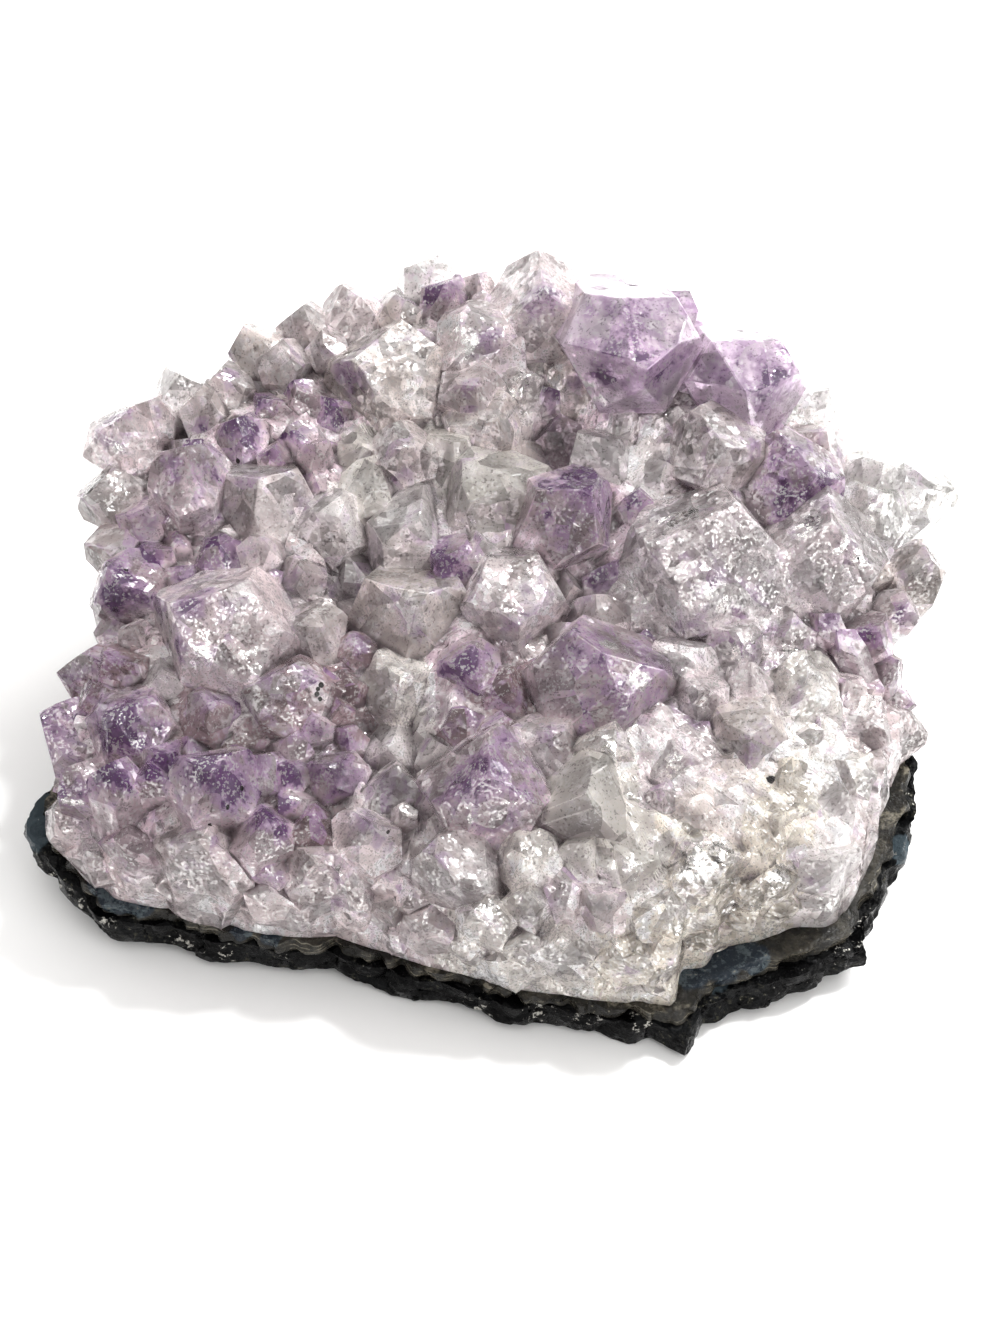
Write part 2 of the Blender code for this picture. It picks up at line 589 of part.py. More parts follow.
def largest_body(mesh):
    """Deletes every body of a mesh but the one with the most faces, such as a hollow sealed inside it."""
    solid = bmesh.new()
    solid.from_mesh(mesh)
    bodies = []
    unseen = set(solid.faces)
    while unseen:
        queue = [unseen.pop()]
        body = []
        while queue:
            face = queue.pop()
            body.append(face)
            for edge in face.edges:
                for neighbour in edge.link_faces:
                    if neighbour in unseen:
                        unseen.remove(neighbour)
                        queue.append(neighbour)
        bodies.append(body)
    bodies.sort(key=len)
    for body in bodies[:-1]:
        bmesh.ops.delete(solid, geom=body, context="FACES")
    bmesh.ops.dissolve_limit(solid, angle_limit=FLAT_ANGLE, verts=solid.verts[:], edges=solid.edges[:])
    solid.to_mesh(mesh)
    solid.free()


def material(name, colour, roughness):
    made = bpy.data.materials.new(name)
    made.use_nodes = True
    shader = made.node_tree.nodes["Principled BSDF"]
    shader.inputs["Base Color"].default_value = colour
    shader.inputs["Roughness"].default_value = roughness
    shader.inputs["Metallic"].default_value = 0.0
    made.diffuse_color = colour
    return made


def finish(thing, name, colour, roughness):
    """Moves a finished solid over the origin, scales it to metres and gives it its material."""
    thing.data.transform(Matrix.Scale(METRES_PER_MM, 4) @ Matrix.Translation(-CLUSTER_MIDDLE))
    thing.data.materials.clear()
    thing.data.materials.append(material(name, colour, roughness))


def rock_edge(angle):
    radius, _, _ = rim_at(angle)
    return radius + uneven(radius * math.cos(angle), radius * math.sin(angle), ROCK_EDGE_LUMPS)


def agate_edge(angle):
    radius, lip, _ = rim_at(angle)
    return radius - AGATE_SETBACK * lip


def bed_edge(angle):
    radius, lip, _ = rim_at(angle)
    return radius - lip


def lumpy_bed_top(x, y):
    return bed_top(x * BED_INSET, y * BED_INSET) + uneven(x, y, BED_LUMPS)


def bed_bottom(x, y):
    return 0.0


def cutter_edge(angle):
    radius, _, _ = rim_at(angle)
    return radius * CUTTER_REACH


def cutter_top(x, y):
    return agate_top(x, y) + LAYER_GAP


def cutter_bottom(x, y):
    return CUTTER_DEPTH


for old in list(bpy.data.objects):
    bpy.data.objects.remove(old, do_unlink=True)
cluster = bpy.data.collections.new("amethyst_cluster")
helpers = bpy.data.collections.new("helpers")
bpy.context.scene.collection.children.link(cluster)
bpy.context.scene.collection.children.link(helpers)

rock_mesh = layer_mesh("basalt_rind", rock_edge, LAYER_SHARES, rock_top, rock_bottom)
rock = add_object("basalt_rind", rock_mesh, cluster)
agate_mesh = layer_mesh("agate_band", agate_edge, LAYER_SHARES, agate_top, agate_underside)
agate = add_object("agate_band", agate_mesh, cluster)

# The crystals are joined to the bed, and what would reach into the agate is cut away.
bed = add_object("bed", layer_mesh("bed", bed_edge, BED_SHARES, lumpy_bed_top, bed_bottom), cluster)
crystals = add_helper("crystals", all_crystals(), helpers)
below_mesh = layer_mesh("below_the_quartz", cutter_edge, CUTTER_SHARES, cutter_top, cutter_bottom)
below = add_helper("below_the_quartz", below_mesh, helpers)
join_or_cut(bed, crystals, "UNION")
join_or_cut(bed, below, "DIFFERENCE")
graph = bpy.context.evaluated_depsgraph_get()
crust_mesh = bpy.data.meshes.new_from_object(bed.evaluated_get(graph))
largest_body(crust_mesh)
crust = add_object("quartz_crust", crust_mesh, cluster)
bpy.data.objects.remove(bed, do_unlink=True)

finish(rock, "basalt", ROCK_COLOUR, ROCK_ROUGHNESS)
finish(agate, "agate", AGATE_COLOUR, AGATE_ROUGHNESS)
finish(crust, "quartz", QUARTZ_COLOUR, QUARTZ_ROUGHNESS)
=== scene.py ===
"""Looks of the amethyst cluster: a loose piece of geode wall, lying on its rock side with its crystals up.

Shapes are worked out in millimetres, in the layout of the solid model, and the finished meshes are scaled
to metres. +X is right, +Y is away from the viewer and +Z is up.
"""

import json
import math
import random
from collections import namedtuple

import bmesh
import bpy
from mathutils import Matrix, Vector, noise
from mathutils.bvhtree import BVHTree

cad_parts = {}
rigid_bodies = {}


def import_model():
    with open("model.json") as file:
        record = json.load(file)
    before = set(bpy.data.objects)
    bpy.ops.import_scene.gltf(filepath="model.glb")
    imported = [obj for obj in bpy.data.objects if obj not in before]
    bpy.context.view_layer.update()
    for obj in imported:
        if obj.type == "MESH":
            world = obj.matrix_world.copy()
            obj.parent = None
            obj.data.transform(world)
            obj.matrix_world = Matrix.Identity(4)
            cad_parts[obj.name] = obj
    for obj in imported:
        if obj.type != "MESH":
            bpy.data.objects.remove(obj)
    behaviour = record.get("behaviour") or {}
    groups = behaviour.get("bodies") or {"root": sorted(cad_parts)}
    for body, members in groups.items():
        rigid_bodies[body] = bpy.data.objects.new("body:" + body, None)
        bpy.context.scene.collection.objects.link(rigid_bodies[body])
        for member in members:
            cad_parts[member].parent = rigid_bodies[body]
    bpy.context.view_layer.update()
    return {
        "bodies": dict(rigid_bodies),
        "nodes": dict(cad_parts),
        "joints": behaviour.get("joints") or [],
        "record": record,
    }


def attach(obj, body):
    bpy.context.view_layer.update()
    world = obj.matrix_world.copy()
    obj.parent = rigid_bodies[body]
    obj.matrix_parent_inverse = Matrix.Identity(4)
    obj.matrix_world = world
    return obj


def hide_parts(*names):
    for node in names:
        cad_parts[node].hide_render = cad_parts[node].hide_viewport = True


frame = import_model()

# The table top that the piece lies on, the light over it, and the camera. The photograph was taken from the
# front and well above, in a white box lit from the right and behind.
METRES_PER_MM = 0.001
CLUSTER_MIDDLE = Vector((1.589, 3.071, 0.0))
PHOTO_CENTRE_X = 500.0
PHOTO_CENTRE_Y = 666.5
PHOTO_HEIGHT = 1333.0
PHOTO_FOCAL_PIXELS = 2820.0
SENSOR_HEIGHT = 36.0
CAMERA_ELEVATION = math.radians(48.0)
CAMERA_DISTANCE = 300.0
CAMERA_AIM = Vector((1.6, -3.6, 22.0))
CAMERA_RIGHT = Vector((1.0, 0.0, 0.0))
CAMERA_UP = Vector((0.0, math.sin(CAMERA_ELEVATION), math.cos(CAMERA_ELEVATION)))
TOWARDS_CAMERA = Vector((0.0, -math.cos(CAMERA_ELEVATION), math.sin(CAMERA_ELEVATION)))
CAMERA_CLIP = 0.01
FLOOR_SIZE = 6.0
FLOOR_ROUGHNESS = 0.6
FLOOR_COLOUR = (0.93, 0.925, 0.92, 1.0)
WORLD_COLOUR = (1.0, 0.995, 0.985, 1.0)
WORLD_BRIGHTEST = Vector((0.45, 0.55, 0.70))
WORLD_DARK_FROM = -0.45
WORLD_BRIGHT_FROM = 0.55
WORLD_DARK = 0.32
WORLD_BRIGHT = 1.35
KEY_PLACE = Vector((0.50, 0.42, 0.58))
KEY_SIZE = 0.45
KEY_POWER = 5.5
GLINT_PLACE = Vector((0.30, 0.20, 0.75))
GLINT_SIZE = 0.08
GLINT_POWER = 4.5
FILL_PLACE = Vector((0.60, -0.55, 0.45))
FILL_SIZE = 0.5
FILL_POWER = 1.6
LAMPS_AIM = Vector((0.0, 0.0, 0.02))


TO_FRAME = Matrix.Scale(METRES_PER_MM, 4) @ Matrix.Translation(-CLUSTER_MIDDLE)


def to_frame(point):
    """A place in the layout, in millimetres, as a place in the frame, in metres."""
    return (point - CLUSTER_MIDDLE) * METRES_PER_MM


def aimed(place, target):
    """The matrix of a camera or a lamp at a place, looking at a target."""
    away = (place - target).normalized()
    turn = away.to_track_quat("Z", "Y").to_matrix().to_4x4()
    return Matrix.Translation(place) @ turn


camera_data = bpy.data.cameras.new("camera")
camera_data.sensor_fit = "VERTICAL"
camera_data.sensor_height = SENSOR_HEIGHT
camera_data.lens = SENSOR_HEIGHT * PHOTO_FOCAL_PIXELS / PHOTO_HEIGHT
camera_data.clip_start = CAMERA_CLIP
camera = bpy.data.objects.new("camera", camera_data)
camera.matrix_world = aimed(to_frame(CAMERA_AIM + TOWARDS_CAMERA * CAMERA_DISTANCE), to_frame(CAMERA_AIM))
bpy.context.scene.collection.objects.link(camera)
bpy.context.scene.camera = camera


def round_lamp(name, place, size, power):
    lamp_data = bpy.data.lights.new(name, "AREA")
    lamp_data.shape = "DISK"
    lamp_data.size = size
    lamp_data.energy = power
    lamp = bpy.data.objects.new(name, lamp_data)
    lamp.matrix_world = aimed(place, LAMPS_AIM)
    bpy.context.scene.collection.objects.link(lamp)


round_lamp("key_light", KEY_PLACE, KEY_SIZE, KEY_POWER)
round_lamp("glint_light", GLINT_PLACE, GLINT_SIZE, GLINT_POWER)
round_lamp("fill_light", FILL_PLACE, FILL_SIZE, FILL_POWER)

world = bpy.data.worlds.new("white_box")
world.use_nodes = True
white_walls = world.node_tree.nodes["Background"]
white_walls.inputs["Color"].default_value = WORLD_COLOUR
look_from = world.node_tree.nodes.new("ShaderNodeTexCoord")
towards_light = world.node_tree.nodes.new("ShaderNodeVectorMath")
towards_light.operation = "DOT_PRODUCT"
towards_light.inputs[1].default_value = WORLD_BRIGHTEST.normalized()
brightness = world.node_tree.nodes.new("ShaderNodeMapRange")
brightness.interpolation_type = "SMOOTHSTEP"
brightness.inputs["From Min"].default_value = WORLD_DARK_FROM
brightness.inputs["From Max"].default_value = WORLD_BRIGHT_FROM
brightness.inputs["To Min"].default_value = WORLD_DARK
brightness.inputs["To Max"].default_value = WORLD_BRIGHT
world.node_tree.links.new(look_from.outputs["Generated"], towards_light.inputs[0])
world.node_tree.links.new(towards_light.outputs["Value"], brightness.inputs["Value"])
world.node_tree.links.new(brightness.outputs[0], white_walls.inputs["Strength"])
bpy.context.scene.world = world
bpy.context.scene.view_settings.view_transform = "Standard"
cycles = bpy.context.scene.cycles
cycles.max_bounces = 5
cycles.transmission_bounces = 4
cycles.diffuse_bounces = 2
cycles.glossy_bounces = 1
cycles.adaptive_threshold = 0.08

floor_mesh = bpy.data.meshes.new("floor")
floor_solid = bmesh.new()
bmesh.ops.create_grid(floor_solid, x_segments=1, y_segments=1, size=FLOOR_SIZE / 2.0)
floor_solid.to_mesh(floor_mesh)
floor_solid.free()
floor = bpy.data.objects.new("floor", floor_mesh)
bpy.context.scene.collection.objects.link(floor)
floor_material = bpy.data.materials.new("white_table")
floor_material.use_nodes = True
floor_shader = floor_material.node_tree.nodes["Principled BSDF"]
floor_shader.inputs["Base Color"].default_value = FLOOR_COLOUR
floor_shader.inputs["Roughness"].default_value = FLOOR_ROUGHNESS
floor_mesh.materials.append(floor_material)


# The quartz crust: massive milky quartz with every crystal grown from it, all one solid. Six-sided crystals
# with pointed tips stand on the bed, large ones at the back right, and crumbled quartz shows at the front,
# where the geode's wall broke. Each crystal remembers its own axis, so that its colour follows its tip.
LAYER_GAP = 0.3
RANDOM_SEED = 7
BREAK_SEED = 31
SIGHT_STARTS = 230.0
SIGHT_STEP = 0.2
SIGHT_STEPS = 720

RimPoint = namedtuple("RimPoint", "x y lip lift")
RIM_POINTS = (
    (-50, -13.2, 4.5, 8), (-46.5, -18, 3, 6.8), (-41, -24.2, 1.6, 5.4), (-33, -25.2, 1, 4.6),
    (-22, -28.2, 0.8, 4.2), (-16, -28.2, 0.8, 4.2), (-10.5, -30.4, 1, 4), (-2.5, -33, 0.8, 4.2),
    (8, -35.2, 0.8, 4), (17, -36.6, 1.2, 3.6), (20.6, -38.4, 3, 3.2), (22.6, -34.4, 1.5, 3.8),
    (32.4, -31, 2.5, 4.8), (40.3, -28.4, 4, 5.2), (39.8, -25, 1.5, 5.4), (44, -18.2, 2.5, 6),
    (46.8, -11, 3, 7.5), (46, 0, 2, 8.5), (46, 10, 1.5, 8.5), (46, 20, 1.5, 8), (41.5, 28, 1.5, 7.5),
    (34.5, 34, 1.5, 7), (24, 39.5, 1.5, 6.5), (11, 42, 1.5, 6.5), (-3, 40.8, 1.5, 6.5), (-15, 38, 1.5, 6.5),
    (-26, 33.5, 1.5, 7), (-34, 27.5, 1.5, 7), (-39, 18, 1.5, 7.5), (-41, 8, 1.5, 8), (-42, 0, 1.5, 8.5),
    (-46.3, -8.7, 2.5, 9),
)
RIM = [RimPoint(*row) for row in RIM_POINTS]

Lumps = namedtuple("Lumps", "height size slice")
NOISE_PEAK = 1.8
ROCK_MIDDLE_TOP = 4.2
REST_SHARE = 0.6
ROCK_TOP_LUMPS = Lumps(height=0.35, size=22.0, slice=0.0)
AGATE_THICKNESS = 1.3
AGATE_LUMPS = Lumps(height=0.3, size=18.0, slice=9.0)
# The bed of massive quartz that the crystals stand in.
BED_MIDDLE_TOP = 25.0
BED_RISE_TO_BACK = 0.27
BED_RISE_TO_RIGHT = 0.03
BED_FALL_FROM_X = 15.0
BED_FALL_AT_RIGHT = 0.009
BED_EDGE_HEIGHT = 3.0
WALL_WIDTH_MEAN = 6.0
WALL_WIDTH_EXTRA_IN_FRONT = 3.0
OVERHANG_FROM_Y = -6.0
OVERHANG_REACH = 4.0
BED_LUMPS = Lumps(height=1.0, size=7.0, slice=6.0)
BED_CRUMBS = Lumps(height=0.4, size=1.8, slice=3.0)
BED_RAISE = 1.4
# At the front right, massive quartz buries most of the crystals.
MASSIVE_RAISE = 2.2
MASSIVE_FROM_X = (4.0, 14.0)
MASSIVE_FROM_Y = (-9.0, -17.0)
# The front is a broken wall, so crystals hardly reach past its edge there.
FRONT_FROM_Y = (-18.0, -26.0)
FRONT_REACH = 0.2
# Over the slate patch at the front right, the quartz is broken away from the edge.
FRONT_BARE = 2.8
FRONT_BARE_FROM_X = (17.0, 23.0)
FRONT_BARE_TO_X = (38.0, 31.0)
# Bare rock shows at the corner on the right too.
CORNER_BARE = 1.0
CORNER_FROM_X = (38.0, 42.0)
CORNER_FROM_Y = (-4.0, -9.0)
FRONT_UNEVEN = Lumps(height=1.1, size=3.5, slice=12.0)
FRONT_PRESSED = 0.25
BED_SECTORS = 64
BED_CUTS = 15
BED_INSET = 0.999
CUTTER_REACH = 1.3
CUTTER_DEPTH = -20.0

Hollow = namedtuple("Hollow", "x y depth radius")
HOLLOWS = (
    Hollow(x=-13.0, y=5.0, depth=6.0, radius=6.0),
    Hollow(x=7.5, y=22.0, depth=6.0, radius=5.0),
    Hollow(x=-9.5, y=-13.0, depth=5.0, radius=5.0),
    Hollow(x=12.0, y=4.0, depth=3.0, radius=8.0),
)

PRISM_SIDES = 6
TIP_NORMAL_ANGLE = math.radians(51.8)
TIP_HEIGHT_PER_APOTHEM = math.tan(TIP_NORMAL_ANGLE)
UNEVEN_PRISM = 0.13
LARGE_TIP_FACE_SHIFT = 0.10
SMALL_TIP_FACE_SHIFT = (0.22, 0.60)
THREE_FACED_BELOW = 6.0
BROKEN_CORNERS = 2
BROKEN_CORNERS_FROM = 4.0
BREAK_LEAN = (0.15, 1.45)
BREAK_DEPTH = (0.03, 0.16)
breaks = random.Random(BREAK_SEED)
WORN_EDGES_FROM = 9.0
WORN_EDGE = 0.10
ROOT_LENGTH = 3.5
ROOT_PER_WIDTH = 0.35

WIDTH_IN_SIGHT = 0.88

# What a crystal is like: the colour of its body, how purple its tip is, how frosted its faces are, and how
# crumbled its surface is, in millimetres.
Look = namedtuple("Look", "body purple frost crumble", defaults=(0.05,))
CLEAR = Look(body=(0.87, 0.82, 0.80), purple=0.12, frost=0.15)
GREY = Look(body=(0.66, 0.59, 0.58), purple=0.14, frost=0.25)
GREEN = Look(body=(0.64, 0.61, 0.56), purple=0.0, frost=0.1)
BEIGE = Look(body=(0.80, 0.72, 0.68), purple=0.14, frost=0.3)
PALE = Look(body=(0.88, 0.77, 0.77), purple=0.30, frost=0.4)
MAUVE = Look(body=(0.38, 0.275, 0.29), purple=0.50, frost=0.25)
PINK = Look(body=(0.88, 0.75, 0.76), purple=0.36, frost=0.5, crumble=0.1)
LILAC = Look(body=(0.70, 0.57, 0.61), purple=0.60, frost=0.4)
PURPLE = Look(body=(0.68, 0.54, 0.59), purple=0.86, frost=0.3)
CREAM = Look(body=(0.84, 0.78, 0.67), purple=0.00, frost=0.45, crumble=0.45)
WHITE = Look(body=(0.93, 0.88, 0.82), purple=0.05, frost=0.6, crumble=0.3)
BRIGHT = Look(body=(0.99, 0.98, 0.94), purple=0.0, frost=0.5, crumble=0.15)
ROYAL = Look(body=(0.84, 0.69, 0.83), purple=0.62, frost=0.05)
FROST = Look(body=(0.70, 0.62, 0.625), purple=0.20, frost=0.75, crumble=0.2)
Crystal = namedtuple("Crystal", "px py look width right up stand face", defaults=(1.3, None))
CRYSTAL_ROWS = (
    # Left edge, from the back to the front.
    (123, 443, PINK, 7.2, -0.2, 0.2), (181, 395, CLEAR, 5.1, 0, 0.6), (188, 478, LILAC, 7.4, 0.02, 0.55, 5),
    (113, 500, GREY, 6, -0.35, 0.1), (112, 550, GREY, 5, -0.3, 0.1), (142, 523, LILAC, 5.3, -0.6, 0.1),
    (243, 440, PURPLE, 5.5, -0.1, 0.5), (262, 505, GREY, 8.5, -0.1, 0.35),
    (316, 455, LILAC, 3.6, 0, 0.4, 3), (275, 458, PURPLE, 3.2, 0, 0.5, 2.5),
    (331, 414, PURPLE, 4.2, 0.05, 0.5), (333, 528, CLEAR, 7.5, 0.1, 0.3), (128, 592, PURPLE, 7, -0.3, 0.2),
    (155, 560, PURPLE, 4, -0.2, 0.4), (219, 633, PINK, 12, -0.45, 0.3, 2.5, -35),
    (303, 580, PALE, 4.5, 0.2, 0.4), (137, 638, PINK, 3.5, 0, 0.4), (122, 668, MAUVE, 5, -0.4, 0.3),
    (165, 682, CLEAR, 4.2, 0, 0.5), (281, 700, MAUVE, 8, -0.5, 0.2, 1.3, -20),
    (212, 718, MAUVE, 6, 0.1, 0.4), (130, 728, PURPLE, 8, -0.3, 0.3), (117, 785, PURPLE, 4.8, -0.1, 0.7, 4),
    (152, 782, PURPLE, 3.4, 0, 0.6, 3), (215, 785, PURPLE, 8, 0.05, 0.55, 3),
    (264, 775, MAUVE, 5, 0.05, 0.6), (290, 778, PURPLE, 4, 0, 0.5), (265, 835, LILAC, 5.6, 0.1, 0.5, 3),
    (202, 858, PALE, 9.5, 0, 0.3), (315, 728, LILAC, 3.4, 0, 0.5), (312, 832, MAUVE, 5, 0.1, 0.5),
    (73, 818, PINK, 6, -0.35, 0.5),
    # Back row.
    (152, 418, PALE, 5, -0.1, 0.45), (207, 410, GREY, 5, -0.1, 0.5), (228, 388, GREY, 4.6, -0.2, 0.5),
    (283, 365, GREY, 5.5, -0.1, 0.5), (395, 312, BEIGE, 5, 0, 0.5), (433, 282, CLEAR, 6.5, 0.2, 0.6),
    (478, 287, PALE, 3, 0, 0.6), (443, 302, LILAC, 5.2, 0.1, 0.4), (352, 316, PALE, 6, -0.1, 0.5),
    (305, 330, GREY, 5, -0.2, 0.55), (258, 352, BEIGE, 5.6, -0.35, 0.6),
    (537, 312, PALE, 10.6, -0.1, 0.35, 3, -90), (478, 348, PALE, 9, -0.1, 0.3, 2.5, 180),
    (474, 394, PALE, 6.2, 0.05, 0.2, 3), (515, 385, WHITE, 5, 0.3, 0.3), (485, 432, BEIGE, 8, 0.2, 0.1),
    (382, 382, BEIGE, 11, -0.35, 0.2, 1.3, -10),
    # Middle.
    (360, 455, GREEN, 4.4, 0.2, 0.2), (404, 455, GREY, 6, 0.1, 0.3, 3), (450, 457, GREEN, 6, 0.2, 0.3),
    (490, 497, GREEN, 10.5, -0.3, 0.3, 0.5, -60), (555, 400, LILAC, 3.4, 0.1, 0.3),
    (556, 350, BEIGE, 4, -0.3, 0.2), (412, 535, CLEAR, 9, 0.25, 0.35, 1.3, -100),
    (450, 566, PURPLE, 5.4, -0.3, 0.1), (480, 557, GREY, 4.5, 0.1, 0.5),
    (570, 515, PURPLE, 9.4, 0.35, 0.35, 3.5, 235), (513, 610, PALE, 9, 0.1, -0.25, 2, 90),
    (415, 617, BEIGE, 10.6, 0.05, 0.3, 1, 210), (312, 638, GREY, 6.5, 0, 0.3),
    (358, 652, MAUVE, 3.8, 0.1, 0.4), (402, 692, WHITE, 7.4, 0.1, 0.25, 1.3, 200),
    (470, 670, PURPLE, 6.2, -0.2, 0.2), (505, 695, MAUVE, 5, 0.1, 0.3), (393, 753, CLEAR, 6.5, 0, 0.2),
    (347, 738, MAUVE, 3.6, 0, 0.4), (489, 792, LILAC, 11.4, 0, 0.25, 2.5, -90),
    (546, 748, PALE, 7.4, 0.2, 0.35), (600, 692, LILAC, 12.6, 0.3, 0.2, 2, 195),
    # The large crystals at the back right.
    (632, 352, ROYAL, 11.8, 0.1, -0.3, 7, 90), (746, 388, ROYAL, 9.8, 0.1, -0.3, 5, 90),
    (716, 455, GREY, 8.6, 0.07, 0.05, 4, 180), (665, 434, CLEAR, 2.8, 0, 0.2),
    (789, 485, PURPLE, 10.6, 0.1, 0.1, 3, 60), (815, 450, PALE, 6.2, 0.2, 0.4),
    (817, 412, BRIGHT, 5, 0.3, 0.6), (873, 487, BRIGHT, 6.5, 0.25, 0.5), (920, 490, BRIGHT, 6.6, 0.3, 0.35),
    (695, 572, FROST, 14.5, -0.3, 0.15, 1.5, -20), (815, 553, FROST, 13.5, 0.1, 0.35, 1.5, -95),
    (876, 510, BRIGHT, 7, 0.2, 0.5), (917, 572, BEIGE, 6, 0.2, 0.3),
    # Right side, from the back to the front.
    (896, 613, PALE, 4.2, 0.3, 0.3), (868, 637, LILAC, 4.6, 0.2, 0.3), (735, 647, FROST, 6, 0.1, 0.3),
    (700, 700, FROST, 5.6, 0, 0.3), (865, 726, PALE, 5, 0.3, 0.2), (803, 744, WHITE, 4, 0.1, 0.3),
    (750, 737, BEIGE, 8, -0.1, 0.1), (676, 768, FROST, 6, 0, 0.4), (720, 808, BEIGE, 5.6, 0, 0.3),
    (772, 822, CREAM, 6, 0.1, 0.3), (697, 866, CREAM, 8.5, -0.1, 0.2),
    # Front.
    (606, 752, WHITE, 7, 0.1, 0.3), (590, 812, GREEN, 10, -0.1, 0.2), (583, 856, GREEN, 4.8, 0, 0.4),
    (632, 866, GREEN, 5.5, 0.1, 0.2), (490, 913, WHITE, 6, -0.1, 0.3), (530, 900, WHITE, 4.8, -0.2, 0.5),
    (427, 806, GREY, 3, 0, 0.5), (365, 840, PALE, 6.2, 0.1, 0.45, 3), (330, 876, PALE, 8.5, -0.05, 0.3),
    (455, 866, GREY, 8.6, -0.5, 0.35), (412, 895, PALE, 3.2, 0, 0.4), (600, 903, PALE, 5, -0.2, 0.2),
    (662, 912, CREAM, 5.6, 0.1, 0.3), (718, 902, CREAM, 6.2, 0.2, 0.2), (775, 890, CREAM, 6.6, 0.1, 0.2),
    (826, 868, CLEAR, 6, 0.3, 0.1), (866, 846, GREY, 5, 0.4, 0.2), (628, 955, CREAM, 6, 0, 0, 0.5),
    (565, 948, WHITE, 5.4, -0.2, 0.1, 0.5),
)
CRYSTALS = [Crystal(*row) for row in CRYSTAL_ROWS]

